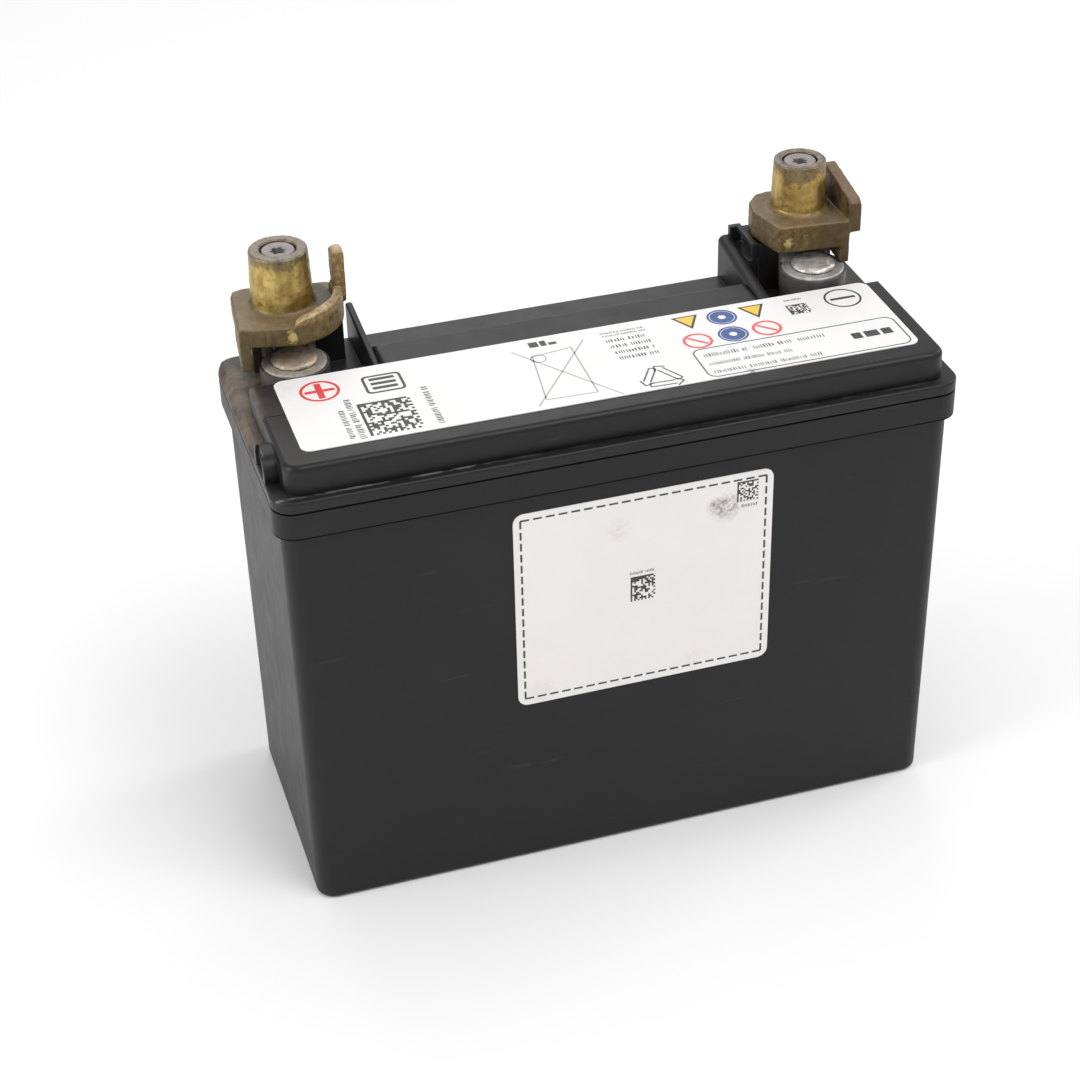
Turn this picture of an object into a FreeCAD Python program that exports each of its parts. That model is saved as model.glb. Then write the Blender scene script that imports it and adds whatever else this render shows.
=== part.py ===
import FreeCAD, Part
import math
import os
import Sketcher

# A six-cell lead-acid battery with a vented lid and screwed-on round post adapters.
# Frame: origin at the centre of the case's bottom face, +X along the long side
# (negative terminal end), +Y towards the side that carries the terminals, +Z up.
# "Front" is -Y and "rear" is +Y; "inner" and "outer" are measured from x = 0.

Vector = FreeCAD.Vector
doc = FreeCAD.newDocument("battery")

# ----------------------------------------------------------------------------
# Driving dimensions, millimetres: alias, value, meaning.
# ----------------------------------------------------------------------------
PARAMS = [
    # case
    ("case_len_bottom", 199.8, "case length at the foot"),
    ("case_wid_bottom", 81.8, "case width at the foot"),
    ("case_draft", 0.2567, "mould draft of the case walls, degrees"),
    ("case_corner", 5.5, "case vertical corner radius"),
    ("foot_round", 1.6, "rounding of the foot edge"),
    ("collar_z", 133.9, "underside of the rim collar"),
    ("seam_z", 142.3, "plane where the lid is welded to the case"),
    ("rim_len", 205.0, "length over the collar"),
    ("rim_wid", 87.0, "width over the collar"),
    ("rim_corner", 6.5, "corner radius of the collar and lid"),
    ("floor_thk", 3.5, "case floor"),
    ("cell_len", 31.0, "cell compartment along X"),
    ("cell_wid", 76.6, "cell compartment along Y"),
    ("cell_pitch", 32.7, "cell to cell"),
    ("cell_edge", 1.2, "corner radius inside a cell"),
    # lid
    ("deck_z", 146.0, "upper face of the lid deck"),
    ("top_z", 155.0, "upper face of the raised plateau"),
    ("deck_round", 0.8, "rounding of the lid's outer upper edge"),
    ("seam_chamfer", 0.3, "chamfer on both sides of the case to lid seam"),
    ("plat_len", 196.4, "plateau length"),
    ("plat_front", 40.3, "plateau front face, distance in front of the centre"),
    ("plat_split", 11.0, "joint between vent cover and lid, in front of the centre"),
    ("split_gap", 0.3, "gap at the joint between vent cover and lid"),
    ("plat_pocket", 8.3, "front wall of the terminal pockets"),
    ("plat_back", 20.5, "rear edge of the plateau"),
    ("plat_round", 1.8, "rounding of the plateau's upper edge"),
    ("fin_x", 59.0, "inner face of the divider fins"),
    ("fin_pos_thk", 2.2, "divider fin thickness, positive side"),
    ("fin_neg_thk", 4.6, "divider fin thickness, negative side"),
    ("fin_pos_top", 157.6, "rear height of the positive fin"),
    ("fin_neg_top", 159.8, "rear height of the negative fin"),
    ("fin_pos_crest", 0.8, "crest rounding of the positive fin"),
    ("fin_neg_crest", 2.0, "crest rounding of the negative fin"),
    ("fin_drop", 1.2, "front end of the fins below the plateau top"),
    ("wall", 2.5, "lid and cover wall"),
    ("head_trim", 1.0, "head space shorter than the cell"),
    ("chamber_top", 152.5, "ceiling of the gas chamber"),
    ("tower_rad", 10.3, "plastic tower round the bushing"),
    ("tower_drop", 0.7, "tower below the upper face of the bushing"),
    ("cheek_neg_in", 66.7, "inner face of the inner negative cheek, from the centre"),
    ("bevel_len", 60.0, "length of the slanted deck edges"),
    ("bevel_front", 13.5, "front end of the slanted deck edges, in front of the centre"),
    # vent cover and valves
    ("cover_corner", 4.6, "vertical front corner radius of the vent cover"),
    ("valve_y", 24.5, "row of valves, in front of the centre"),
    ("chimney_out", 5.7, "valve seat outer radius"),
    ("chimney_in", 4.0, "valve seat bore radius"),
    ("chimney_top", 149.6, "valve seat height"),
    ("valve_rad", 7.2, "relief valve cap radius"),
    ("valve_cap", 1.6, "relief valve crown thickness"),
    ("valve_low", 146.2, "lower rim of the relief valve cap"),
    ("valve_play", 0.05, "radial play between cap and seat"),
    ("port_z", 149.2, "vent port height"),
    ("port_rad", 2.5, "vent port radius"),
    ("port_half", 7.0, "half width of the vent port arch"),
    ("port_reach", 6.0, "port bore, length inside the cover end"),
    ("recess_wall", 2.6, "port recess radius beyond the port"),
    ("recess_deep", 1.0, "port recess depth"),
    ("recess_drop", 0.2, "port recess axis below the port axis"),
    ("arch_hgt", 7.2, "vent port arch height"),
    ("arch_round", 5.2, "vent port arch rounding"),
    ("arch_reach", 4.0, "vent port arch, length inside the cover end"),
    ("arch_inset", 0.1, "arch outer face inside the rim"),
    ("arrest_rad", 3.0, "flame arrestor radius"),
    ("arrest_thk", 2.5, "flame arrestor thickness"),
    # poles, bushings and terminal blocks
    ("pole_pos_x", 82.2, "positive pole axis, from the centre"),
    ("pole_neg_x", 81.3, "negative pole axis, from the centre"),
    ("pole_y", 20.2, "pole axis, behind the centre"),
    ("pole_rad", 5.5, "pole radius"),
    ("pole_sink", 0.2, "pole overlap with its strap"),
    ("seal_wall", 3.0, "pole seal width round the pole"),
    ("seal_thk", 2.0, "pole seal thickness"),
    ("bush_rad", 9.6, "lead bushing radius"),
    ("dome_rad", 6.9, "burned pole head radius"),
    ("dome_hgt", 1.5, "burned pole head height"),
    ("ring_pos", 154.2, "upper face of the positive bushing"),
    ("ring_neg", 157.0, "upper face of the negative bushing"),
    ("block_wid", 15.8, "terminal block width"),
    ("block_front", 27.4, "terminal block front face, behind the centre"),
    ("block_back", 40.4, "terminal block rear face, behind the centre"),
    ("block_lift", 0.6, "terminal block underside above the deck"),
    ("block_pos", 161.5, "upper face of the positive block"),
    ("block_neg", 162.5, "upper face of the negative block"),
    ("arm_inset", 0.2, "arm narrower than the block, each side"),
    ("arm_shift", 0.3, "arm front face behind the pole axis"),
    ("arm_drop", 0.9, "arm below the upper face of the bushing"),
    # nut, screw and lock washer
    ("nut_side", 10.0, "square nut M6, across flats"),
    ("nut_thk", 5.0, "square nut M6, thickness"),
    ("nut_slot", 10.2, "nut slot width"),
    ("nut_slot_run", 10.0, "nut slot behind the screw axis, beyond its half width"),
    ("nut_play", 0.3, "nut slot height beyond the nut"),
    ("nut_pos_low", 150.6, "floor of the positive nut slot"),
    ("nut_neg_low", 152.3, "floor of the negative nut slot"),
    ("nut_bore", 3.0, "nut bore radius"),
    ("screw_clear", 3.3, "clearance hole radius for M6"),
    ("screw_floor", 1.6, "bottom of the block's screw hole above the deck"),
    ("screw_rad", 2.95, "M6 shank radius"),
    ("screw_len", 30.0, "M6 screw length under the head"),
    ("shank_sink", 0.5, "shank overlap with the head"),
    ("head_rad", 5.0, "socket head radius"),
    ("head_hgt", 6.0, "socket head height"),
    ("head_below", 0.4, "head sits this far below the post's end"),
    ("hex_flat", 5.0, "hexagon socket across flats"),
    ("hex_deep", 3.0, "hexagon socket depth"),
    ("hex_over", 0.2, "hexagon tool above the head"),
    ("mouth_flare", 0.55, "socket mouth cone: height and growth in radius"),
    ("mouth_deep", 0.5, "socket mouth cone, depth in the head"),
    ("cbore_rad", 5.35, "counterbore radius in the posts"),
    ("washer_thk", 1.5, "lock washer thickness"),
    ("washer_rad", 5.0, "lock washer outer radius"),
    ("washer_in", 3.1, "lock washer inner radius"),
    ("washer_gap", 0.8, "split in the lock washer"),
    ("washer_gap_len", 6.0, "length of the tool that splits the washer"),
    # adapters
    ("post_taper", 24.0, "post taper: radius grows by 1 mm in this height"),
    ("post_pos_r", 8.65, "positive post end radius"),
    ("post_neg_r", 7.95, "negative post end radius"),
    ("post_pos_z", 184.8, "positive post end"),
    ("post_neg_z", 186.8, "negative post end"),
    ("post_pos_x", 82.0, "positive post axis, from the centre"),
    ("post_pos_y", 32.5, "positive post axis, behind the centre"),
    ("post_neg_x", 81.3, "negative post axis, from the centre"),
    ("post_neg_y", 33.6, "negative post axis, behind the centre"),
    ("foot_pos_low", 1.5, "positive post foot, lower radius beyond the post end's"),
    ("foot_pos_up", 0.7, "positive post foot, upper radius beyond the post end's"),
    ("foot_pos_hgt", 0.6, "positive post foot height"),
    ("foot_neg_low", 1.9, "negative post foot, lower radius beyond the post end's"),
    ("foot_neg_up", 0.65, "negative post foot, upper radius beyond the post end's"),
    ("foot_neg_hgt", 0.9, "negative post foot height"),
    ("plate_pos_z", 167.5, "upper face of the positive adapter plate"),
    ("plate_neg_z", 171.0, "upper face of the negative adapter plate"),
    ("plate_pos_round", 0.8, "rounding of the positive adapter plate"),
    ("plate_neg_round", 0.9, "rounding of the negative adapter plate"),
    ("skirt_pos_low", 154.0, "lower edge of the positive skirt"),
    ("skirt_neg_low", 157.1, "lower edge of the negative skirt"),
    ("skirt_sink", 0.5, "skirt overlap with the plate"),
    ("wing_top", 171.0, "crest of the wing on the positive adapter"),
    ("finger_top", 182.6, "top of the finger on the positive adapter"),
    ("finger_sink", 1.5, "finger overlap with the plate"),
    ("finger_round", 1.3, "rounding of the finger top"),
    ("wing_neg_x", 91.9, "inner face of the upright wall on the negative adapter"),
    ("wing_neg_thk", 4.2, "thickness of that wall"),
    ("wing_neg_round", 0.9, "rounding of that wall"),
    # labels
    ("label_thk", 0.25, "label film thickness"),
    ("top_label_len", 184.5, "top label length"),
    ("top_label_wid", 40.6, "top label width"),
    ("top_label_corner", 3.0, "top label corner radius"),
    ("front_label_len", 79.4, "front label length"),
    ("front_label_hgt", 68.0, "front label height"),
    ("front_label_corner", 3.2, "front label corner radius"),
    ("front_label_z", 93.5, "front label centre height"),
    ("front_label_gap", 0.01, "front label off the case wall"),
    # plates, straps and welds
    ("plate_hgt", 118.0, "cell plate height"),
    ("plate_low", 7.0, "cell plate lower edge"),
    ("plate_wid", 74.0, "cell plate width"),
    ("plate_pthk", 2.6, "positive plate thickness"),
    ("plate_nthk", 1.9, "negative plate thickness"),
    ("sep_thk", 0.6, "separator thickness"),
    ("sep_side", 0.8, "separator beyond the plate, each side"),
    ("sep_low", 1.0, "separator below the plate"),
    ("sep_extra", 1.5, "separator taller than the plate"),
    ("lug_y", 20.0, "plate lug, distance from the centre plane"),
    ("lug_wid", 11.0, "plate lug width"),
    ("strap_low", 129.5, "underside of the straps"),
    ("strap_thk", 5.0, "strap thickness"),
    ("strap_wid", 13.0, "strap width"),
    ("strap_trim", 1.6, "connector strap shorter than the cell"),
    ("end_trim", 1.0, "pole strap shorter than the cell"),
    ("tab_thk", 3.0, "connector tab thickness"),
    ("tab_hgt", 10.6, "connector tab height"),
    ("weld_rad", 3.6, "through-partition weld radius"),
    ("weld_z", 135.2, "through-partition weld height"),
    ("weld_sink", 0.5, "weld overlap with each tab"),
    # cutting tools
    ("overshoot", 1.0, "cutting tools reach this far past a face"),
    ("through", 40.0, "height of tools that run out through the top"),
]
sheet = doc.addObject("Spreadsheet::Sheet", "Params")
for row, (name, value, meaning) in enumerate(PARAMS, start=1):
    sheet.set("A%d" % row, name)
    sheet.set("B%d" % row, repr(float(value)))
    sheet.set("C%d" % row, meaning)
    sheet.setAlias("B%d" % row, name)
doc.recompute()
size = {name: float(sheet.get(name)) for name, _, _ in PARAMS}

CELLS = 6
PARTITION = "(@cell_pitch-@cell_len)"
SIDES = ("pos", "neg")
WORD = {"pos": "positive", "neg": "negative"}
SIGN = {"pos": "-", "neg": ""}
ALONG_X = FreeCAD.Rotation(Vector(0, 1, 0), 90)
NEAR = 0.01
FLAT = 1e-4

pieces = []


# ----------------------------------------------------------------------------
# Helpers.  A text argument is an expression in which @ marks a sheet alias.
# ----------------------------------------------------------------------------
def on_sheet(expression):
    return expression.replace("@", "Params.")


def bind(obj, **properties):
    for name, value in properties.items():
        if isinstance(value, str):
            obj.setExpression(name, on_sheet(value))
        else:
            setattr(obj, name, value)


def place(obj, position, rotation=None):
    fixed = [0.0 if isinstance(value, str) else float(value) for value in position]
    obj.Placement = FreeCAD.Placement(Vector(*fixed), rotation or FreeCAD.Rotation())
    for axis, value in zip("xyz", position):
        if isinstance(value, str):
            obj.setExpression("Placement.Base." + axis, on_sheet(value))


def primitive(kind, name, position, rotation=None, **properties):
    obj = doc.addObject("Part::" + kind, name)
    bind(obj, **properties)
    place(obj, position, rotation)
    return obj


def box(name, lengths, corner):
    """Box with its low corner at corner."""
    return primitive("Box", name, corner, Length=lengths[0], Width=lengths[1], Height=lengths[2])


def cylinder(name, radius, height, base, rotation=None):
    return primitive("Cylinder", name, base, rotation, Radius=radius, Height=height)


def cone(name, low_radius, top_radius, height, base):
    return primitive("Cone", name, base, Radius1=low_radius, Radius2=top_radius, Height=height)


def fuse(name, objects):
    obj = doc.addObject("Part::MultiFuse", name)
    obj.Shapes = list(objects)
    obj.Refine = True
    return obj


def cut(name, base, tools):
    obj = doc.addObject("Part::Cut", name)
    obj.Base = base
    obj.Tool = tools[0] if len(tools) == 1 else fuse(name + "_tools", tools)
    obj.Refine = True
    return obj


def piece(obj, label):
    """Register obj for export under its label."""
    obj.Label = label
    pieces.append(obj)


def new_body(name):
    return doc.addObject("PartDesign::Body", name)


def new_sketch(body, name, plane="XY_Plane", z=None):
    sketch = body.newObject("Sketcher::SketchObject", name)
    support = [f for f in body.Origin.OriginFeatures if f.Role == plane][0]
    sketch.AttachmentSupport = [(support, "")]
    sketch.MapMode = "FlatFace"
    if z is not None:
        sketch.setExpression("AttachmentOffset.Base.z", on_sheet(z))
    return sketch


def close_loop(sketch, count):
    for i in range(count):
        sketch.addConstraint(Sketcher.Constraint("Coincident", i, 2, (i + 1) % count, 1))


def sketch_polygon(body, name, points, plane="XY_Plane", z=None):
    sketch = new_sketch(body, name, plane, z)
    for start, end in zip(points, points[1:] + points[:1]):
        sketch.addGeometry(Part.LineSegment(Vector(*start, 0), Vector(*end, 0)), False)
    close_loop(sketch, len(points))
    return sketch


def square_up(sketch, count):
    """Even sides run along the sketch's X, odd sides along its Y."""
    for i in range(count):
        sketch.addConstraint(Sketcher.Constraint("Vertical" if i % 2 else "Horizontal", i))


def dimension(sketch, name, kind, ends, value, expression):
    index = sketch.addConstraint(Sketcher.Constraint(kind, *ends, value))
    sketch.renameConstraint(index, name)
    sketch.setExpression("Constraints." + name, on_sheet(expression))


def sketch_rect(body, name, width, depth, z=None, left=None, front=None):
    """Rectangle reaching left and front of the origin; centred by default."""
    half = 10.0
    corners = [(-half, -half), (half, -half), (half, half), (-half, half)]
    sketch = sketch_polygon(body, name, corners, z=z)
    square_up(sketch, 4)
    dimension(sketch, "width", "DistanceX", (0, 1, 0, 2), 2 * half, width)
    dimension(sketch, "depth", "DistanceY", (1, 1, 1, 2), 2 * half, depth)
    dimension(sketch, "left", "DistanceX", (0, 1, -1, 1), half, left or "(%s)/2" % width)
    dimension(sketch, "front", "DistanceY", (0, 1, -1, 1), half, front or "(%s)/2" % depth)
    return sketch


def extrude(body, kind, name, sketch, length, **properties):
    feature = body.newObject("PartDesign::" + kind, name)
    feature.Profile = sketch
    bind(feature, Length=length, **properties)
    doc.recompute()
    return feature


def dress(body, kind, name, base, test, **properties):
    """Fillet or Chamfer on the edges of base whose bounding box passes test."""
    names = ["Edge%d" % (i + 1) for i, edge in enumerate(base.Shape.Edges)
             if test(edge.BoundBox)]
    feature = body.newObject("PartDesign::" + kind, name)
    feature.Base = (base, names)
    bind(feature, **properties)
    doc.recompute()
    return feature


def fillet_if_possible(body, name, base, test, radius):
    """Guards a fillet the kernel may refuse: the body then stays sharp."""
    feature = dress(body, "Fillet", name, base, test, Radius=radius)
    if "Invalid" in feature.State:
        body.Tip = base
        body.removeObject(feature)
        doc.removeObject(feature.Name)
        doc.recompute()


def is_vertical(bounds):
    limit = 0.02 * bounds.ZLength + 1e-6
    return bounds.ZLength > 1.0 and bounds.XLength < limit and bounds.YLength < limit


def is_level(bounds, z):
    return bounds.ZLength < FLAT and abs(bounds.ZMin - z) < FLAT


def is_top_rim(bounds, joint_y):
    """Upper edges of the plateau, without the one along the joint."""
    on_joint = bounds.YLength < FLAT and abs(bounds.YMin - joint_y) < FLAT
    return is_level(bounds, size["top_z"]) and not on_joint


def cell_x(i):
    """Centre of cell i; cell 0 is at the positive end."""
    return "(%r)*@cell_pitch" % (i - (CELLS - 1) / 2)


def partition_x(i):
    """Centre of the partition between cells i and i + 1."""
    return "(%d)*@cell_pitch" % (i - 2)


def pole_x(side):
    return f"{SIGN[side]}@pole_{side}_x"


def post_x(side):
    return f"{SIGN[side]}@post_{side}_x"


# ----------------------------------------------------------------------------
# Case: six-cell jar with drafted walls and a thicker rim collar.
# ----------------------------------------------------------------------------
def is_collar_corner(bounds):
    return (is_vertical(bounds) and bounds.ZMin > size["collar_z"] - NEAR
            and abs(abs(bounds.XMin) - size["rim_len"] / 2) < NEAR)


def is_cell_corner(bounds):
    return (is_vertical(bounds)
            and abs(bounds.ZLength - (size["seam_z"] - size["floor_thk"])) < NEAR
            and abs(abs(bounds.YMin) - size["cell_wid"] / 2) < NEAR)


def build_container():
    case = new_body("CaseBody")
    sketch = sketch_rect(case, "CaseFoot", "@case_len_bottom", "@case_wid_bottom")
    walls = extrude(case, "Pad", "CaseWalls", sketch, "@collar_z", TaperAngle="@case_draft")
    corners = dress(case, "Fillet", "CaseCorners", walls, is_vertical, Radius="@case_corner")
    dress(case, "Fillet", "CaseFootRound", corners, lambda b: is_level(b, 0.0),
          Radius="@foot_round")
    sketch = sketch_rect(case, "Collar", "@rim_len", "@rim_wid", "@collar_z")
    collar = extrude(case, "Pad", "CollarPad", sketch, "@seam_z-@collar_z")
    collar = dress(case, "Fillet", "CollarCorners", collar, is_collar_corner,
                   Radius="@rim_corner")
    dress(case, "Chamfer", "SeamChamfer", collar, lambda b: is_level(b, size["seam_z"]),
          Size="@seam_chamfer")
    # The cell at the positive end is cut first, then repeated along X.
    sketch = sketch_rect(case, "CellSketch", "@cell_len", "@cell_wid", "@seam_z",
                         left="@cell_len/2+2.5*@cell_pitch")
    cell = extrude(case, "Pocket", "CellPocket", sketch, "@seam_z-@floor_thk")
    dress(case, "Fillet", "CellCorners", cell, is_cell_corner, Radius="@cell_edge")
    cells = case.newObject("PartDesign::LinearPattern", "Cells")
    cells.Originals = [cell]
    cells.Direction = (sketch, ["H_Axis"])
    cells.Occurrences = CELLS
    bind(cells, Length="5*@cell_pitch")
    case.Tip = cells
    doc.recompute()
    # Weld holes through the partitions alternate between the two lug rows.
    holes = []
    for i in range(CELLS - 1):
        sign = "" if i % 2 else "-"
        start = (partition_x(i) + f"-{PARTITION}/2-@overshoot", sign + "@lug_y", "@weld_z")
        holes.append(cylinder("PartitionHole%d" % (i + 1), "@weld_rad",
                              PARTITION + "+2*@overshoot", start, ALONG_X))
    piece(cut("ContainerCut", case, holes), "container")


# ----------------------------------------------------------------------------
# Lid: deck, rear part of the plateau, divider fins, bushing towers, valve seats.
# ----------------------------------------------------------------------------
# Cable clip: a bow that springs from the rear end of the negative fin, runs
# forward and turns down.  Name, lengths, low corner.
CLIP = [
    ("ClipRoot", (3.8, 1.8, 5.0), ("@fin_x+3.2", "@rim_wid/2-1.8", "@fin_neg_top-1.8")),
    ("ClipBow", (1.6, 15.2, 1.6), ("@fin_x+5.4", "@rim_wid/2-15.2", "@fin_neg_top+1.6")),
    ("ClipLeg", (1.6, 1.6, 6.0), ("@fin_x+5.4", "@rim_wid/2-15.2", "@fin_neg_top-2.8")),
]
# Cheeks beside the terminal blocks.
# Name, side, X length, Y length, top below the block's upper face, low x, low y.
CHEEKS = [
    ("CheekPosOuter", "pos", 2.7, 12.4, 0.5, "-@post_pos_x-@block_wid/2-2.7", 31.0),
    ("CheekPosInner", "pos", 9.1, 13.4, 0.5, "-@post_pos_x+@block_wid/2", 30.0),
    ("CheekNegOuter", "neg", 2.6, 12.4, 5.6, "@post_neg_x+@block_wid/2", 31.0),
    ("CheekNegInner", "neg", "@post_neg_x-@block_wid/2-@cheek_neg_in", 14.4, 0.5,
     "@cheek_neg_in", 29.0),
    ("CheekNegStep", "neg", 3.6, 15.2, 4.9, 63.2, "@rim_wid/2-15.2"),
]
# Section of the tool that slants the deck's outer edge: distance from the centre, z.
BEVEL_SECTION = [(103.2, 142.9), (100.3, 146.01), (100.3, 148.0), (103.2, 148.0)]
# Small slots in the plateau's rear edge: low x, length.
EDGE_SLOTS = [(-50.4, 4.8), (38.0, 4.2)]
SLOT_WIDTH, SLOT_HEIGHT = 2.4, 1.2


def build_deck():
    deck = new_body("DeckBody")
    sketch = sketch_rect(deck, "DeckSketch", "@rim_len", "@rim_wid", "@seam_z")
    feature = extrude(deck, "Pad", "DeckPad", sketch, "@deck_z-@seam_z")
    feature = dress(deck, "Fillet", "DeckCorners", feature, is_vertical, Radius="@rim_corner")
    feature = dress(deck, "Fillet", "DeckRound", feature,
                    lambda b: is_level(b, size["deck_z"]), Radius="@deck_round")
    dress(deck, "Chamfer", "DeckSeam", feature,
          lambda b: is_level(b, size["seam_z"]), Size="@seam_chamfer")
    return deck


def build_plateau():
    """Full width in front, only between the fins behind the pocket wall."""
    plateau = new_body("PlateauBody")
    half, fin = size["plat_len"] / 2, size["fin_x"]
    joint = -(size["plat_split"] - size["split_gap"])
    notch, back = size["plat_pocket"], size["plat_back"]
    outline = [(-half, joint), (half, joint), (half, notch), (fin, notch),
               (fin, back), (-fin, back), (-fin, notch), (-half, notch)]
    sketch = sketch_polygon(plateau, "PlateauSketch", outline, z="@seam_z")
    square_up(sketch, 8)
    for row in (
            ("full", "DistanceX", (0, 1, 0, 2), 2 * half, "@plat_len"),
            ("half", "DistanceX", (0, 1, -1, 1), half, "@plat_len/2"),
            ("split", "DistanceY", (0, 1, -1, 1), -joint, "@plat_split-@split_gap"),
            ("pocket", "DistanceY", (-1, 1, 2, 1), notch, "@plat_pocket"),
            ("pocketleft", "DistanceY", (-1, 1, 6, 1), notch, "@plat_pocket"),
            ("back", "DistanceY", (-1, 1, 4, 1), back, "@plat_back"),
            ("finright", "DistanceX", (-1, 1, 3, 1), fin, "@fin_x"),
            ("finleft", "DistanceX", (5, 1, -1, 1), fin, "@fin_x")):
        dimension(sketch, *row)
    feature = extrude(plateau, "Pad", "PlateauPad", sketch, "@top_z-@seam_z")
    dress(plateau, "Fillet", "PlateauRound", feature,
          lambda b: is_top_rim(b, joint), Radius="@plat_round")
    return plateau


def build_fin(side):
    """Divider fin: a wedge that rises to the rear, with a rounded crest."""
    thickness = f"@fin_{side}_thk"
    low_x = "-@fin_x-" + thickness if side == "pos" else "@fin_x"
    wedge = primitive("Wedge", "Fin" + side.title(), (low_x, "@plat_pocket", "@seam_z"),
                      Xmin=0, Xmax=thickness, X2min=0, X2max=thickness,
                      Ymin=0, Ymax="@rim_wid/2-@plat_pocket",
                      Zmin=0, Zmax="@top_z-@seam_z-@fin_drop",
                      Z2min=0, Z2max=f"@fin_{side}_top-@seam_z")
    doc.recompute()
    crest = doc.addObject("Part::Fillet", "FinCrest" + side.title())
    crest.Base = wedge
    radius = size[f"fin_{side}_crest"]
    # The crest edges are the two long sloping ones.
    crest.Edges = [(i + 1, radius, radius) for i, edge in enumerate(wedge.Shape.Edges)
                   if edge.BoundBox.YLength > 20 and edge.BoundBox.ZLength > 0.5]
    return crest


def build_bevel(name, sign):
    bevel = new_body(name)
    section = [(sign * x, z) for x, z in BEVEL_SECTION]
    sketch = sketch_polygon(bevel, name + "Sketch", section, "XZ_Plane")
    extrude(bevel, "Pad", name + "Pad", sketch, "@bevel_len", Reversed=True)
    place(bevel, (0, "-@bevel_front", 0))
    return bevel


def build_lid():
    added = [build_deck(), build_plateau()]
    added += [build_fin(side) for side in SIDES]
    for side in SIDES:
        added.append(cylinder("Tower" + side.title(), "@tower_rad",
                              f"@ring_{side}-@tower_drop-@seam_z",
                              (pole_x(side), "@pole_y", "@seam_z")))
    for i in range(CELLS):
        added.append(cylinder("Seat%d" % (i + 1), "@chimney_out", "@chimney_top-@seam_z",
                              (cell_x(i), "-@valve_y", "@seam_z")))
    for name, lengths, corner in CLIP:
        added.append(box(name, lengths, corner))
    for name, side, length, width, drop, x, y in CHEEKS:
        added.append(box(name, (length, width, f"@block_{side}-{drop}-@seam_z"),
                         (x, y, "@seam_z")))
    solid = fuse("LidSolid", added)

    removed = []
    # Head space of each cell under the plateau, and the bore of its valve seat.
    for i in range(CELLS):
        removed.append(box(
            "Head%d" % (i + 1),
            ("@cell_len-@head_trim", "@plat_pocket+@plat_split-2*@wall",
             "@chamber_top-@seam_z"),
            (cell_x(i) + "-(@cell_len-@head_trim)/2", "-@plat_split+@wall", "@seam_z")))
        removed.append(cylinder("SeatBore%d" % (i + 1), "@chimney_in", "@through",
                                (cell_x(i), "-@valve_y", "@seam_z-2*@overshoot")))
    # Seats of the bushings and terminal blocks.
    for side in SIDES:
        removed.append(cylinder("BushSeat" + side.title(), "@bush_rad", "@through",
                                (pole_x(side), "@pole_y", "@seam_z-2*@overshoot")))
        removed.append(box("BlockSeat" + side.title(),
                           ("@block_wid", "@block_back-@pole_y", "@through"),
                           (post_x(side) + "-@block_wid/2", "@pole_y",
                            "@deck_z+@block_lift")))
    removed += [build_bevel("BevelLeft", -1), build_bevel("BevelRight", 1)]
    for i, (x, length) in enumerate(EDGE_SLOTS):
        removed.append(box("EdgeSlot%d" % (i + 1), (length, SLOT_WIDTH, SLOT_HEIGHT),
                           (x, "@plat_back-1.6", "@top_z-2.6")))
    piece(cut("LidCut", solid, removed), "lid")


# ----------------------------------------------------------------------------
# Vent cover: front part of the plateau, closes the gas chamber over the valves.
# ----------------------------------------------------------------------------
def build_vent_cover():
    cover = new_body("CoverBody")
    sketch = sketch_rect(cover, "CoverSketch", "@plat_len", "@plat_front-@plat_split",
                         "@deck_z", front="@plat_front")
    feature = extrude(cover, "Pad", "CoverPad", sketch, "@top_z-@deck_z")
    feature = dress(cover, "Fillet", "CoverCorners", feature,
                    lambda b: is_vertical(b) and b.YMin < -size["plat_front"] + 0.1,
                    Radius="@cover_corner")
    dress(cover, "Fillet", "CoverRound", feature,
          lambda b: is_top_rim(b, -size["plat_split"]), Radius="@plat_round")
    chamber = box("Chamber",
                  ("@plat_len-2*@wall", "@plat_front-@plat_split-2*@wall",
                   "@chamber_top-@deck_z"),
                  ("-@plat_len/2+@wall", "-@plat_front+@wall", "@deck_z"))

    # Arch over the vent port, at the positive end.
    arch = new_body("ArchPos")
    sketch = sketch_rect(arch, "ArchSketchPos",
                         "@rim_len/2-@plat_len/2+@arch_reach-@arch_inset", "2*@port_half",
                         "@deck_z", left="@rim_len/2-@arch_inset",
                         front="@valve_y+@port_half")
    feature = extrude(arch, "Pad", "ArchPadPos", sketch, "@arch_hgt")
    arch_top = size["deck_z"] + size["arch_hgt"]
    dress(arch, "Fillet", "ArchRoundPos", feature,
          lambda b: is_level(b, arch_top) and b.YLength < FLAT, Radius="@arch_round")
    recess = cylinder("PortRecessPos", "@port_rad+@recess_wall", "@recess_deep",
                      ("-@rim_len/2+@arch_inset", "-@valve_y", "@port_z-@recess_drop"),
                      ALONG_X)
    port = cylinder("PortPos", "@port_rad", "@rim_len/2-@plat_len/2+@port_reach",
                    ("-@rim_len/2", "-@valve_y", "@port_z"), ALONG_X)
    solid = fuse("CoverSolid", [cover, arch])
    piece(cut("CoverCut", solid, [chamber, recess, port]), "vent_cover")


def build_arrestor():
    """Porous disc behind the port."""
    piece(cylinder("Arrestor", "@arrest_rad", "@arrest_thk",
                   ("-@plat_len/2+@wall", "-@valve_y", "@port_z"), ALONG_X),
          "flame_arrestor")


def build_valve(i):
    """Rubber cup over the valve seat of cell i."""
    base = (cell_x(i), "-@valve_y", "@valve_low")
    cup = cylinder("Cup%d" % (i + 1), "@valve_rad", "@chimney_top+@valve_cap-@valve_low", base)
    hollow = cylinder("CupHollow%d" % (i + 1), "@chimney_out+@valve_play",
                      "@chimney_top-@valve_low", base)
    piece(cut("Valve%d" % (i + 1), cup, [hollow]), "relief_valve_%d" % (i + 1))


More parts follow.
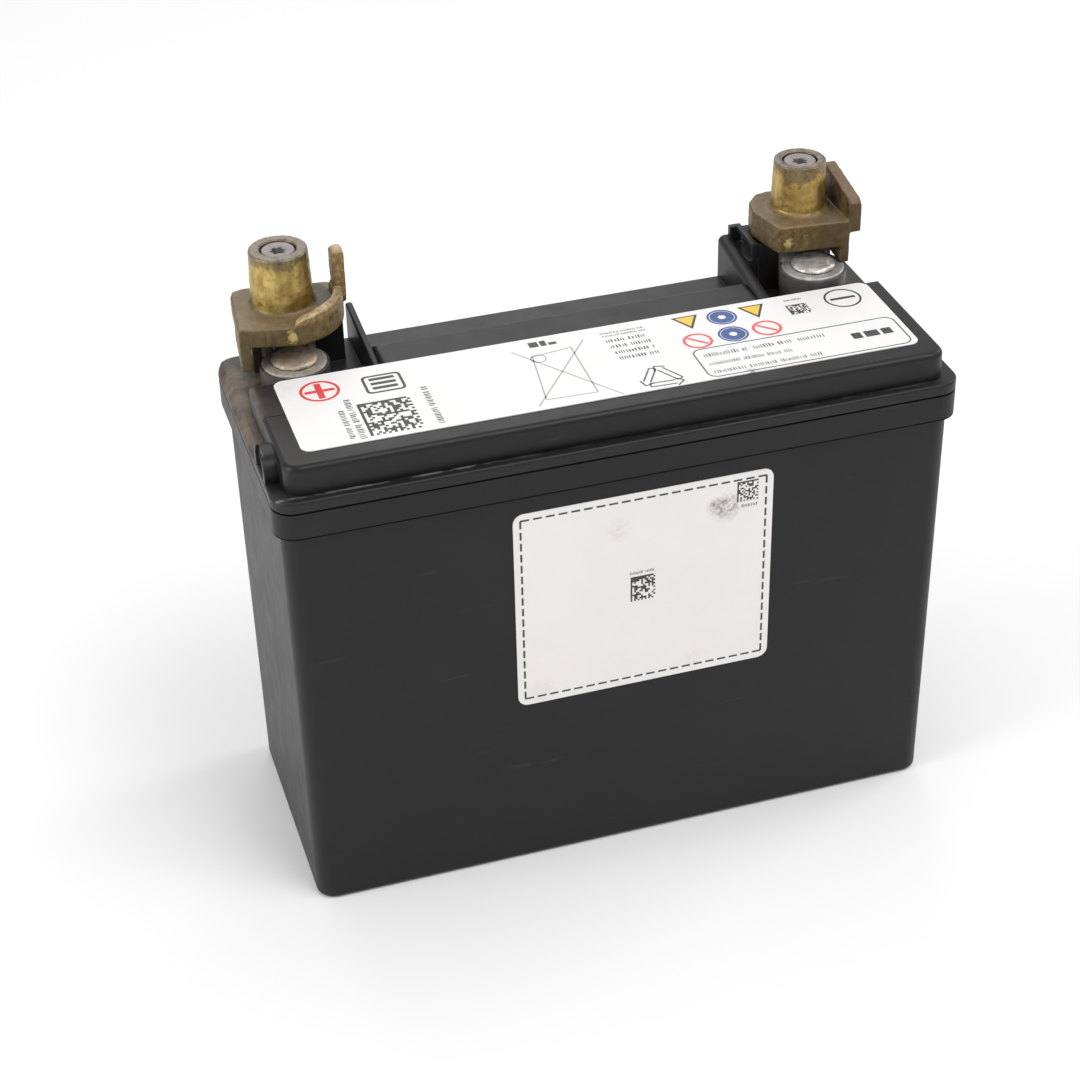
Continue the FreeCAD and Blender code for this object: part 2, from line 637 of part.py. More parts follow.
# ----------------------------------------------------------------------------
# Labels.
# ----------------------------------------------------------------------------
def build_label(name, label, width, depth, corner, position, rotation=None):
    body = new_body(name + "Body")
    sketch = sketch_rect(body, name + "Sketch", width, depth)
    film = extrude(body, "Pad", name + "Pad", sketch, "@label_thk")
    dress(body, "Fillet", name + "Corners", film,
          lambda b: b.ZLength > 0.5 * size["label_thk"], Radius=corner)
    place(body, position, rotation)
    piece(body, label)


def build_labels():
    build_label("TopLabel", "top_label", "@top_label_len", "@top_label_wid",
                "@top_label_corner", (0.75, -12.8, "@top_z"))
    # The front label leans with the drafted front wall.
    draft = size["case_draft"]
    lean = size["front_label_z"] * math.tan(math.radians(draft))
    y = -(size["case_wid_bottom"] / 2 + lean) - size["front_label_gap"]
    build_label("FrontLabel", "front_label", "@front_label_len", "@front_label_hgt",
                "@front_label_corner", (4.7, y, "@front_label_z"),
                FreeCAD.Rotation(Vector(1, 0, 0), 90 + draft))


# ----------------------------------------------------------------------------
# Terminals.  Lead bushing and block are one casting moulded into the lid.
# ----------------------------------------------------------------------------
def build_terminal(side):
    tag, ring, top = side.title(), f"@ring_{side}", f"@block_{side}"
    slot_floor = f"@nut_{side}_low"
    axis_x, axis_y = post_x(side), f"@post_{side}_y"
    bush = cylinder("Bush" + tag, "@bush_rad", ring + "-@seam_z",
                    (pole_x(side), "@pole_y", "@seam_z"))
    block = box("Block" + tag,
                ("@block_wid", "@block_back-@block_front", top + "-@deck_z-@block_lift"),
                (axis_x + "-@block_wid/2", "@block_front", "@deck_z+@block_lift"))
    arm = box("Arm" + tag,
              ("@block_wid-2*@arm_inset", "@block_front-@pole_y",
               ring + "-@arm_drop-@deck_z-@block_lift"),
              (axis_x + "-@block_wid/2+@arm_inset", "@pole_y+@arm_shift",
               "@deck_z+@block_lift"))
    solid = fuse("TermSolid" + tag, [bush, block, arm])
    bore = cylinder("PoleBore" + tag, "@pole_rad", "@through",
                    (pole_x(side), "@pole_y", "@seam_z-2*@overshoot"))
    hole = cylinder("TermHole" + tag, "@screw_clear", top + "-@deck_z",
                    (axis_x, axis_y, "@deck_z+@screw_floor"))
    # The nut slot is open to the rear.
    slot = box("NutSlot" + tag,
               ("@nut_slot", "@nut_slot/2+@nut_slot_run", "@nut_thk+@nut_play"),
               (axis_x + "-@nut_slot/2", axis_y + "-@nut_slot/2", slot_floor))
    piece(cut("Term" + tag, solid, [bore, hole, slot]), WORD[side] + "_terminal")


def build_nut(side):
    tag, slot_floor = side.title(), f"@nut_{side}_low"
    axis_x, axis_y = post_x(side), f"@post_{side}_y"
    blank = box("NutBlank" + tag, ("@nut_side", "@nut_side", "@nut_thk"),
                (axis_x + "-@nut_side/2", axis_y + "-@nut_side/2", slot_floor + "+@nut_play"))
    bore = cylinder("NutBore" + tag, "@nut_bore", "@nut_thk+2*@overshoot",
                    (axis_x, axis_y, slot_floor + "-@overshoot"))
    piece(cut("Nut" + tag, blank, [bore]), WORD[side] + "_nut")


def build_screw(side):
    """Socket head screw with a hexagon recess."""
    tag, axis_x, axis_y = side.title(), post_x(side), f"@post_{side}_y"
    head_top = f"@post_{side}_z-@head_below"
    head_low = head_top + "-@head_hgt"
    head = cylinder("Head" + tag, "@head_rad", "@head_hgt", (axis_x, axis_y, head_low))
    shank = cylinder("Shank" + tag, "@screw_rad", "@screw_len+@shank_sink",
                     (axis_x, axis_y, head_low + "-@screw_len"))
    socket = primitive("Prism", "Hex" + tag, (axis_x, axis_y, head_top + "-@hex_deep"),
                       Polygon=6, Circumradius="@hex_flat/sqrt(3)",
                       Height="@hex_deep+@hex_over")
    mouth = cone("HexMouth" + tag, "@hex_flat/2", "@hex_flat/2+@mouth_flare", "@mouth_flare",
                 (axis_x, axis_y, head_top + "-@mouth_deep"))
    solid = fuse("ScrewSolid" + tag, [head, shank])
    piece(cut("Screw" + tag, solid, [socket, mouth]), WORD[side] + "_adapter_screw")


def build_washer(side):
    """Split lock washer under the screw head, its gap to the rear."""
    tag, axis_x, axis_y = side.title(), post_x(side), f"@post_{side}_y"
    low = f"@post_{side}_z-@head_below-@head_hgt-@washer_thk"
    tool_height = "@washer_thk+2*@overshoot"
    disc = cylinder("Wash" + tag, "@washer_rad", "@washer_thk", (axis_x, axis_y, low))
    bore = cylinder("WashBore" + tag, "@washer_in", tool_height,
                    (axis_x, axis_y, low + "-@overshoot"))
    gap = box("WashGap" + tag, ("@washer_gap", "@washer_gap_len", tool_height),
              (axis_x + "-@washer_gap/2", axis_y, low + "-@overshoot"))
    piece(cut("Washer" + tag, disc, [bore, gap]), WORD[side] + "_lock_washer")


# ----------------------------------------------------------------------------
# Poles: a lead column from the end cell's strap, closed by a low dome.
# ----------------------------------------------------------------------------
def build_dome(side):
    """Low disc with a rounded upper edge, turned about the pole axis."""
    dome = new_body("Dome" + side.title())
    sketch = new_sketch(dome, "DomeSketch" + side.title(), "XZ_Plane")
    radius, height = size["dome_rad"], size["dome_hgt"]
    centre, rim = Vector(0, 0, 0), Vector(radius, 0, 0)
    shoulder = Vector(radius, height - 1.1, 0)
    bend = Vector(radius - 0.45, height - 0.35, 0)
    flat_edge, apex = Vector(radius - 1.4, height, 0), Vector(0, height, 0)
    profile = [Part.LineSegment(centre, rim), Part.LineSegment(rim, shoulder),
               Part.Arc(shoulder, bend, flat_edge),
               Part.LineSegment(flat_edge, apex), Part.LineSegment(apex, centre)]
    for curve in profile:
        sketch.addGeometry(curve, False)
    close_loop(sketch, len(profile))
    turn = dome.newObject("PartDesign::Revolution", "DomeTurn" + side.title())
    turn.Profile = sketch
    turn.ReferenceAxis = (sketch, ["V_Axis"])
    turn.Angle = 360
    doc.recompute()
    place(dome, (pole_x(side), "@pole_y", f"@ring_{side}"))
    return dome


def build_pole(side, cell):
    tag, axis_x = side.title(), pole_x(side)
    column = cylinder("Column" + tag, "@pole_rad",
                      f"@ring_{side}-@strap_low-@strap_thk+@pole_sink",
                      (axis_x, "@pole_y", "@strap_low+@strap_thk-@pole_sink"))
    dome = build_dome(side)
    strap = box("EndStrap" + tag, ("@cell_len-@end_trim", "@strap_wid", "@strap_thk"),
                (cell_x(cell) + "-(@cell_len-@end_trim)/2", "@lug_y-@strap_wid/2",
                 "@strap_low"))
    piece(fuse("Pole" + tag, [column, dome, strap]), WORD[side] + "_pole")


def build_pole_seal(side):
    tag, axis_x = side.title(), pole_x(side)
    seal = cylinder("Seal" + tag, "@pole_rad+@seal_wall", "@seal_thk",
                    (axis_x, "@pole_y", "@seam_z-@seal_thk"))
    bore = cylinder("SealBore" + tag, "@pole_rad", "@seal_thk+2*@overshoot",
                    (axis_x, "@pole_y", "@seam_z-@seal_thk-@overshoot"))
    piece(cut("PoleSeal" + tag, seal, [bore]), WORD[side] + "_pole_seal")


# ----------------------------------------------------------------------------
# Adapters: castings that turn the block into a tapered round post.
# ----------------------------------------------------------------------------
def post_arc(radius, start, end, steps):
    """Points on a circle round the positive post axis; angles in degrees from +X."""
    angles = [math.radians(start + (end - start) * i / steps) for i in range(steps + 1)]
    return [(-size["post_pos_x"] + radius * math.cos(angle),
             size["post_pos_y"] + radius * math.sin(angle)) for angle in angles]


WING_RADIUS = 17.8
# Outlines, x and y.  The positive plate's front inner corner and the wing on it
# are arcs round the post axis.
PLATE_POS = ([(-98.1, 18.4)] + post_arc(WING_RADIUS, -90, 14, 13)
             + [(-66.6, 40.4), (-92.6, 44.6), (-95.0, 43.7), (-96.0, 41.2)])
SKIRT_POS = [(-98.1, 18.4), (-94.9, 17.6), (-93.1, 38.0), (-96.1, 38.0)]
WING_POS = post_arc(WING_RADIUS, -90, 10, 26) + post_arc(14.7, 10, -86, 26)
FINGER_POS = post_arc(18.8, -12, 7, 6) + post_arc(15.2, 7, -12, 6)
PLATE_NEG = [(69.6, 20.4), (92.3, 18.0), (93.4, 42.0), (91.0, 46.0),
             (76.2, 47.0), (71.8, 46.0), (68.2, 41.8), (66.4, 34.4)]
SKIRT_NEG = [(89.4, 18.3), (92.3, 18.0), (93.2, 38.0), (90.2, 38.0)]
# Side view of the negative adapter's upright wall, y and z.
WING_NEG = [(18.6, 166.6), (40.6, 166.6), (41.8, 168.0), (41.8, 178.8),
            (39.6, 181.4), (20.4, 177.6), (18.6, 175.9)]


def prism(name, outline, z, height):
    body = new_body(name)
    sketch = sketch_polygon(body, name + "Sketch", outline, z=z)
    return body, extrude(body, "Pad", name + "Pad", sketch, height)


def adapter_base(side, plate_outline, skirt_outline, test):
    """Plate, rounded on the edges that pass test, and the skirt on its outer side."""
    tag, low = side.title(), f"@block_{side}"
    plate, feature = prism("Plate" + tag, plate_outline, low, f"@plate_{side}_z-{low}")
    dress(plate, "Fillet", "Plate" + tag + "Round", feature, test,
          Radius=f"@plate_{side}_round")
    skirt, _ = prism("Skirt" + tag, skirt_outline, f"@skirt_{side}_low",
                     f"{low}-@skirt_{side}_low+@skirt_sink")
    return [plate, skirt]


def finish_adapter(side, bodies):
    """Add the tapered post and its foot, then bore for screw, head and washer."""
    tag, axis_x, axis_y = side.title(), post_x(side), f"@post_{side}_y"
    radius, top, low = f"@post_{side}_r", f"@post_{side}_z", f"@plate_{side}_z"
    post = cone("Post" + tag, f"{radius}+({top}-{low})/@post_taper", radius,
                f"{top}-{low}", (axis_x, axis_y, low))
    foot = cone("PostFoot" + tag, f"{radius}+@foot_{side}_low", f"{radius}+@foot_{side}_up",
                f"@foot_{side}_hgt", (axis_x, axis_y, low))
    solid = fuse("AdapterSolid" + tag, bodies + [post, foot])
    counterbore = cylinder("Cbore" + tag, "@cbore_rad", "@through",
                           (axis_x, axis_y, top + "-@head_below-@head_hgt-@washer_thk"))
    bore = cylinder("Bore" + tag, "@screw_clear", "@through",
                    (axis_x, axis_y, f"@block_{side}-2*@overshoot"))
    piece(cut("Adapter" + tag, solid, [counterbore, bore]), WORD[side] + "_adapter")


def build_positive_adapter():
    """Plate, skirt, curved wing round the front inner corner, upright inner finger."""
    bodies = adapter_base("pos", PLATE_POS, SKIRT_POS,
                          lambda b: is_level(b, size["plate_pos_z"]) and b.XMax < -80)
    wing, _ = prism("WingPos", WING_POS, "@block_pos", "@wing_top-@block_pos")
    finger, feature = prism("FingerPos", FINGER_POS, "@plate_pos_z-@finger_sink",
                            "@finger_top-@plate_pos_z+@finger_sink")
    fillet_if_possible(finger, "FingerRound", feature,
                       lambda b: is_level(b, size["finger_top"]), "@finger_round")
    finish_adapter("pos", bodies + [wing, finger])


def build_negative_adapter():
    """Thicker plate, skirt and an upright wall on the outer side."""
    bodies = adapter_base("neg", PLATE_NEG, SKIRT_NEG,
                          lambda b: is_level(b, size["plate_neg_z"]))
    wing = new_body("WingNeg")
    sketch = sketch_polygon(wing, "WingNegSketch", WING_NEG, "YZ_Plane")
    feature = extrude(wing, "Pad", "WingNegPad", sketch, "@wing_neg_thk")
    fillet_if_possible(wing, "WingNegRound", feature,
                       lambda b: b.ZMin > 170 and b.XLength < FLAT, "@wing_neg_round")
    place(wing, ("@wing_neg_x", 0, 0))
    finish_adapter("neg", bodies + [wing])


# ----------------------------------------------------------------------------
# Cell groups: plates stand across X, separated by mats.
# ----------------------------------------------------------------------------
NEG_PLATES, POS_PLATES = 6, 5
PLATES = NEG_PLATES + POS_PLATES


def stack(i):
    """Low X faces of the positive plates, negative plates and mats of cell i."""
    total = (NEG_PLATES * size["plate_nthk"] + POS_PLATES * size["plate_pthk"]
             + (PLATES - 1) * size["sep_thk"])
    x = (i - (CELLS - 1) / 2) * size["cell_pitch"] - total / 2
    positive, negative, mats = [], [], []
    for k in range(PLATES):
        if k % 2 == 0:
            negative.append(x)
            x += size["plate_nthk"]
        else:
            positive.append(x)
            x += size["plate_pthk"]
        if k < PLATES - 1:
            mats.append(x)
            x += size["sep_thk"]
    return positive, negative, mats


def plate_group(starts, thickness, lug_y):
    width, height, low = size["plate_wid"], size["plate_hgt"], size["plate_low"]
    lug_width, lug_height = size["lug_wid"], size["strap_low"] - low - height
    plates = []
    for x in starts:
        plate = Part.makeBox(thickness, width, height, Vector(x, -width / 2, low))
        lug = Part.makeBox(thickness, lug_width, lug_height,
                           Vector(x, lug_y - lug_width / 2, low + height))
        plates.append(plate.fuse(lug).removeSplitter())
    return Part.makeCompound(plates)


def mat_group(starts):
    width = size["plate_wid"] + 2 * size["sep_side"]
    height = size["plate_hgt"] + size["sep_extra"]
    low = size["plate_low"] - size["sep_low"]
    return Part.makeCompound([Part.makeBox(size["sep_thk"], width, height,
                                           Vector(x, -width / 2, low)) for x in starts])


def build_cell(i):
    """The two lug rows swap sides from cell to cell."""
    positive, negative, mats = stack(i)
    lug_y = size["lug_y"] if i % 2 == 0 else -size["lug_y"]
    for word, shape in (
            ("positive_plates", plate_group(positive, size["plate_pthk"], lug_y)),
            ("negative_plates", plate_group(negative, size["plate_nthk"], -lug_y)),
            ("separators", mat_group(mats))):
        label = "%s_%d" % (word, i + 1)
        feature = doc.addObject("Part::Feature", label)
        feature.Shape = shape
        piece(feature, label)


def build_connector(i):
    """Two straps, two tabs and the weld between them through partition i."""
    sign = "" if i % 2 else "-"
    middle, low_y = partition_x(i), sign + "@lug_y-@strap_wid/2"
    parts = []
    for tag, cell, tab_offset in (("A", i, f"-{PARTITION}/2-@tab_thk"),
                                  ("B", i + 1, f"+{PARTITION}/2")):
        parts.append(box("Strap%d%s" % (i + 1, tag),
                         ("@cell_len-@strap_trim", "@strap_wid", "@strap_thk"),
                         (cell_x(cell) + "-(@cell_len-@strap_trim)/2", low_y, "@strap_low")))
        parts.append(box("Tab%d%s" % (i + 1, tag), ("@tab_thk", "@strap_wid", "@tab_hgt"),
                         (middle + tab_offset, low_y, "@strap_low")))
    parts.append(cylinder("Weld%d" % (i + 1), "@weld_rad", PARTITION + "+2*@weld_sink",
                          (middle + f"-{PARTITION}/2-@weld_sink", sign + "@lug_y", "@weld_z"),
                          ALONG_X))
    piece(fuse("Connector%d" % (i + 1), parts), "cell_connector_%d" % (i + 1))


# ----------------------------------------------------------------------------
# Build, verify and write.
# ----------------------------------------------------------------------------
build_container()
build_lid()
build_vent_cover()
build_arrestor()
for i in range(CELLS):
    build_valve(i)
build_labels()
for side, end_cell in (("pos", 0), ("neg", CELLS - 1)):
    build_terminal(side)
    build_nut(side)
    build_screw(side)
    build_washer(side)
    build_pole(side, end_cell)
    build_pole_seal(side)
build_positive_adapter()
build_negative_adapter()
for i in range(CELLS):
    build_cell(i)
for i in range(CELLS - 1):
    build_connector(i)
doc.recompute()

failed = [o.Name for o in doc.Objects if "Invalid" in o.State or "Error" in o.State]
if failed:
    raise RuntimeError("failed objects: %s" % failed)
for obj in pieces:
    if obj.Shape.isNull() or not obj.Shape.isValid() or not obj.Shape.Solids:
        raise RuntimeError("bad shape: " + obj.Label)
os.makedirs("parts", exist_ok=True)
for obj in pieces:
    obj.Shape.exportStep("parts/%s.step" % obj.Label)
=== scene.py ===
"""A sealed lead battery with two cast brass terminal adapters and printed labels.

The battery stands on z = 0 with its long side along x. The labelled front faces -y,
the positive adapter is at -x and the negative one at +x. Units are metres, except
that the prints are drawn in millimetres on their label.
"""
import bpy
import bmesh
import math
import random
from collections import namedtuple
from fnmatch import fnmatchcase
from functools import cached_property
from mathutils import Vector, Matrix, noise


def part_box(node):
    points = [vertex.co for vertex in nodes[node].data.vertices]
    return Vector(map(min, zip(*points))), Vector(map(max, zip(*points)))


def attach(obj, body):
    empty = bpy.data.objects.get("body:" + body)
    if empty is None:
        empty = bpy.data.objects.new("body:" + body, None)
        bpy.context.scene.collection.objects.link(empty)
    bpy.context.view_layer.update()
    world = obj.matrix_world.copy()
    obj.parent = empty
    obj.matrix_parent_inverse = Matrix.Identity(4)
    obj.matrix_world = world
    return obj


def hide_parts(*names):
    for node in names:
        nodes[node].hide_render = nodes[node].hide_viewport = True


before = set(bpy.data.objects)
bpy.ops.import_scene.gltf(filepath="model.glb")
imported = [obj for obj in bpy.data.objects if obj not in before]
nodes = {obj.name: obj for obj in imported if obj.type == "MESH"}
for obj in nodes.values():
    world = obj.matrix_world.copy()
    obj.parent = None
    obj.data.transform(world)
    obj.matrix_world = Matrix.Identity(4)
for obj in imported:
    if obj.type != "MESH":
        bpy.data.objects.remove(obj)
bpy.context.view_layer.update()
MM = 0.001

SEAM_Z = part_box("container")[1].z
TOP_LABEL_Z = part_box("top_label")[1].z
FRONT_LOW, FRONT_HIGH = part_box("front_label")

# An adapter's tapered post: axis (x, y), end face z, foot z and radius at the end face
Adapter = namedtuple("Adapter", "axis top foot radius")


def screw_axis(word):
    low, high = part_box(word + "_adapter_screw")
    return ((low.x + high.x) / 2, (low.y + high.y) / 2)


POSITIVE = Adapter(screw_axis("positive"), 0.1848, 0.1675, 0.00865)
NEGATIVE = Adapter(screw_axis("negative"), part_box("negative_adapter")[1].z, 0.1710, 0.00795)


# ---------------------------------------------------------------- shader builder
class Signal:
    """A node output; arithmetic on it adds Math nodes."""

    def __init__(self, shader, socket):
        self.shader = shader
        self.socket = socket

    def math(self, operation, other=0.0):
        return self.shader.math(operation, self, other)

    def __add__(self, other):
        return self.math("ADD", other)

    def __radd__(self, other):
        return self.shader.math("ADD", other, self)

    def __sub__(self, other):
        return self.math("SUBTRACT", other)

    def __rsub__(self, other):
        return self.shader.math("SUBTRACT", other, self)

    def __mul__(self, other):
        return self.math("MULTIPLY", other)

    def __pow__(self, other):
        return self.math("POWER", other)

    def __abs__(self):
        return self.math("ABSOLUTE")

    def max(self, other):
        return self.math("MAXIMUM", other)

    def clamped(self):
        """Clamps the Math node behind this signal to 0..1."""
        self.socket.node.use_clamp = True
        return self


class Shader:
    """A small builder round a node tree whose result is one Principled surface."""

    def __init__(self, name):
        self.material = bpy.data.materials.new(name)
        self.material.use_nodes = True
        self.tree = self.material.node_tree
        self.tree.nodes.clear()
        output = self.tree.nodes.new("ShaderNodeOutputMaterial")
        self.principled = self.tree.nodes.new("ShaderNodeBsdfPrincipled")
        self.tree.links.new(self.principled.outputs[0], output.inputs[0])
        self.position = self.node("ShaderNodeTexCoord", out="Object")

    def put(self, socket, value):
        if isinstance(value, Signal):
            self.tree.links.new(value.socket, socket)
            return
        if isinstance(value, tuple) and len(value) == 3 and socket.type == "RGBA":
            value = (*value, 1.0)
        socket.default_value = value

    def node(self, kind, inputs=None, out=0, **settings):
        made = self.tree.nodes.new(kind)
        for key, value in settings.items():
            setattr(made, key, value)
        for key, value in (inputs or {}).items():
            self.put(made.inputs[key], value)
        return Signal(self, made.outputs[out])

    def surface(self, **inputs):
        """Fills the Principled inputs (underscores for spaces) and returns the material."""
        for key, value in inputs.items():
            self.put(self.principled.inputs[key.replace("_", " ")], value)
        return self.material

    def parts(self, vector):
        made = self.tree.nodes.new("ShaderNodeSeparateXYZ")
        self.put(made.inputs[0], vector)
        return tuple(Signal(self, socket) for socket in made.outputs)

    @cached_property
    def normal(self):
        return self.node("ShaderNodeNewGeometry", out="Normal")

    @cached_property
    def place(self):
        return self.parts(self.position)

    @cached_property
    def facing(self):
        return self.parts(self.normal)

    def math(self, operation, first, second):
        return self.node("ShaderNodeMath", {0: first, 1: second}, operation=operation)

    def noise(self, scale, detail, rough, twist=0.0, stretch=None):
        vector = self.position
        if stretch:
            vector = self.node("ShaderNodeVectorMath", {0: vector, 1: stretch},
                               operation="MULTIPLY")
        return self.node("ShaderNodeTexNoise", {
            "Vector": vector, "Scale": scale, "Detail": detail, "Roughness": rough,
            "Distortion": twist})

    def ramp(self, value, start, full, low=0.0, high=1.0):
        """Runs from low at start to high at full, in straight steps."""
        made = self.tree.nodes.new("ShaderNodeValToRGB")
        stops = ((start, low), (full, high))
        for element, (position, grey) in zip(made.color_ramp.elements, stops):
            element.position = position
            element.color = (grey, grey, grey, 1)
        self.put(made.inputs[0], value)
        return Signal(self, made.outputs[0])

    def patches(self, start, full, low=0.0, **texture):
        """Noise ramped from low at start to 1 at full."""
        return self.ramp(self.noise(**texture), start, full, low)

    def band(self, value, start, end, low=0.0, high=1.0):
        """Runs smoothly from low at start to high at end."""
        return self.node("ShaderNodeMapRange", {0: value, 1: start, 2: end, 3: low, 4: high},
                         interpolation_type="SMOOTHSTEP", clamp=True)

    def mix(self, amount, under, over):
        return self.node("ShaderNodeMix", {0: amount, 6: under, 7: over}, 2,
                         data_type="RGBA", clamp_factor=True)

    def near(self, point, inner, outer):
        """1 within inner of a point, 0 beyond outer."""
        distance = self.node("ShaderNodeVectorMath", {0: self.position, 1: point}, "Value",
                             operation="DISTANCE")
        return self.band(distance, inner, outer, 1.0, 0.0)

    def radius(self, axis):
        """Distance from an upright axis."""
        along_x, along_y = self.place[0] - axis[0], self.place[1] - axis[1]
        return (along_x * along_x + along_y * along_y).math("SQRT")

    def rounded_normal(self, radius, samples):
        return self.node("ShaderNodeBevel", {"Radius": radius}, samples=samples)

    def edges(self, radius, samples=4, full=0.3):
        """1 on edges, where the true and the rounded normals part."""
        rounded = self.rounded_normal(radius, samples)
        agreement = self.node("ShaderNodeVectorMath", {0: rounded, 1: self.normal}, "Value",
                              operation="DOT_PRODUCT")
        return self.band(1.0 - agreement, 0.02, full)

    def open_air(self, distance, start, full):
        """1 on exposed skin, falling to 0 in crevices narrower than distance."""
        occlusion = self.node("ShaderNodeAmbientOcclusion", {"Distance": distance}, "AO",
                              samples=4)
        return self.band(occlusion, start, full)

    def bump(self, height, strength, distance, normal=None):
        inputs = {"Height": height, "Strength": strength, "Distance": distance}
        if normal:
            inputs["Normal"] = normal
        return self.node("ShaderNodeBump", inputs)


def scaled(colour, gain):
    """Multiplies a colour by one gain, or by one per channel, and caps it at 1."""
    gains = gain if isinstance(gain, tuple) else (gain,) * 3
    return tuple(min(1.0, channel * factor) for channel, factor in zip(colour, gains))


# ---------------------------------------------------------------- black plastic
def pale_dust(mat, colour, amount, shelf):
    """Grey dust and specks on level faces; with shelf, less in front and higher up."""
    x, y, z = mat.place
    level = mat.band(mat.facing[2], 0.55, 0.95)
    dust = mat.patches(0.30, 0.75, low=0.35, scale=75, detail=8, rough=0.72) * level
    if shelf:
        dust = dust * mat.band(y, -0.034, -0.028, 0.25, 1.0)
        dust = dust * mat.band(z, 0.1480, 0.1510, 1.0, 0.22)
    colour = mat.mix(dust * amount, colour, (0.115, 0.108, 0.108))
    specks = mat.patches(0.73, 0.77, scale=1900, detail=2, rough=0.5)
    return mat.mix(specks * level * 0.35, colour, (0.30, 0.29, 0.28))


def tan_dust(mat, colour):
    """Tan dust caught round the adapters and along the rear shelf."""
    x, y, z = mat.place
    up = mat.facing[2]
    spots = mat.near((-0.0985, 0.024, 0.147), inner=0.004, outer=0.026)
    spots = spots.max(mat.near((-0.0985, 0.002, 0.147), inner=0.002, outer=0.018))
    spots = spots.max(mat.near((0.082, 0.034, 0.147), inner=0.006, outer=0.022) * 0.4)
    dust = mat.patches(0.36, 0.66, scale=180, detail=8, rough=0.72) * spots
    dust = dust * mat.band(up, 0.1, 0.8, 0.3, 1.0)
    left_end = mat.band(x, -0.0985, -0.0960, 1.0, 0.12)
    dust = dust * left_end.max(mat.band(y, 0.020, 0.026))
    colour = mat.mix(dust * 0.9, colour, (0.26, 0.195, 0.135))
    # a thin veil over the left end
    veil = mat.near((-0.1000, 0.012, 0.147), inner=0.008, outer=0.040) * mat.band(up, 0.3, 0.8)
    veil = veil * mat.band(x, -0.0985, -0.0965, 1.0, 0.04)
    veil = veil * mat.patches(0.34, 0.62, low=0.25, scale=320, detail=8, rough=0.78)
    return mat.mix(veil * 0.60, colour, (0.20, 0.158, 0.122))


def plateau_foot_glint(mat, colour):
    """Painted highlight: a broken pale line of glints along the front foot of the lid's plateau.
    """
    x, y, z = mat.place
    line = (mat.band(abs(y + 0.0409), 0.0003, 0.0007, 1.0, 0.0)
            * mat.band(abs(z - 0.1460), 0.0003, 0.0010, 1.0, 0.0))
    breaks = mat.patches(0.46, 0.58, scale=300, detail=6, rough=0.75, stretch=(0.35, 1.0, 1.0))
    line = line * (mat.band(x, -0.045, -0.036, 1.0, 0.25) * breaks)
    return mat.mix(line * 0.5, colour, (0.30, 0.285, 0.275))


def lead_skin(mat, colour, centre, tone):
    """Dull grey skin of the lead bush round a pole."""
    bush_radius = 0.0103
    x, y, z = mat.place
    radius = ((x - centre[0]) ** 2.0 + (y - centre[1]) ** 2.0).math("SQRT")
    on_bush = (mat.band(radius, bush_radius + 0.0003, bush_radius + 0.0006, 1.0, 0.0)
               * mat.band(z, 0.1464, 0.1480))
    mottle = mat.patches(0.34, 0.66, scale=420, detail=6, rough=0.7)
    return mat.mix(on_bush * 0.9, colour, mat.mix(mottle, scaled(tone, 0.6), tone))


def plastic(name, dark, light, rough, rounding, dust=0.0, grain=1.0, specular=0.32,
            seams=(), shelf=False, bushes=()):
    """Moulded black plastic. Seams are (z, half width), each a dark joint or a painted shadow
    line;
    bushes, given for the lid only, are (centre, tone) and bring the tan dust and the plateau's
    painted glint line."""
    mat = Shader(name)
    broad = mat.noise(scale=16, detail=4, rough=0.55)
    middle = mat.noise(scale=110, detail=4, rough=0.6)
    fine = mat.noise(scale=2600, detail=2, rough=0.6)
    scuffs = mat.patches(0.55, 0.78, scale=60, detail=6, rough=0.7, twist=0.2,
                         stretch=(1.0, 1.0, 0.35))
    lines = mat.patches(0.70, 0.76, scale=260, detail=3, rough=0.5, twist=0.15,
                        stretch=(0.12, 0.12, 1.0))
    rubbed = scaled(light, 2.2)
    colour = mat.mix(mat.ramp(broad, 0.3, 0.72), dark, light)
    colour = mat.mix(mat.ramp(fine, 0.45, 0.8) * 0.20, colour, rubbed)
    colour = mat.mix(scuffs * 0.16, colour, rubbed)
    colour = mat.mix(lines * 0.10, colour, (0.11, 0.11, 0.11))
    # share left unshaded; below it paints shade into crevices and tones down worn edges there
    unshaded = 0.32 + mat.open_air(0.0022, 0.05, 0.75) * 0.68
    if dust:
        colour = pale_dust(mat, colour, dust, shelf)
    if bushes:
        colour = tan_dust(mat, colour)
    # edges worn paler, partly a painted edge highlight
    worn = mat.edges(rounding * 1.6) * mat.ramp(middle, 0.35, 0.7, low=0.1) * unshaded
    colour = mat.mix(worn * 0.42, colour, (0.16, 0.155, 0.155))
    if bushes:
        # painted glint line along the plateau's front foot
        colour = plateau_foot_glint(mat, colour)
    for centre, tone in bushes:
        colour = lead_skin(mat, colour, centre, tone)
    # painted shade: crevices go nearly black, and the seams too
    exposed = unshaded
    for seam_z, half_width in seams:
        off_seam = abs(mat.place[2] - seam_z)
        exposed = exposed * mat.band(off_seam, half_width * 0.55, half_width)
    return mat.surface(
        Base_Color=mat.mix(exposed, (0.0025, 0.0025, 0.0025), colour),
        Roughness=((rough - 0.09) + middle * 0.18 + scuffs * 0.10).clamped(),
        Specular_IOR_Level=(exposed * 0.9 + 0.1) * specular,
        Normal=mat.bump(fine * 1.0 + middle * 0.8, strength=0.16 * grain, distance=0.00006,
                        normal=mat.rounded_normal(rounding, 6)))


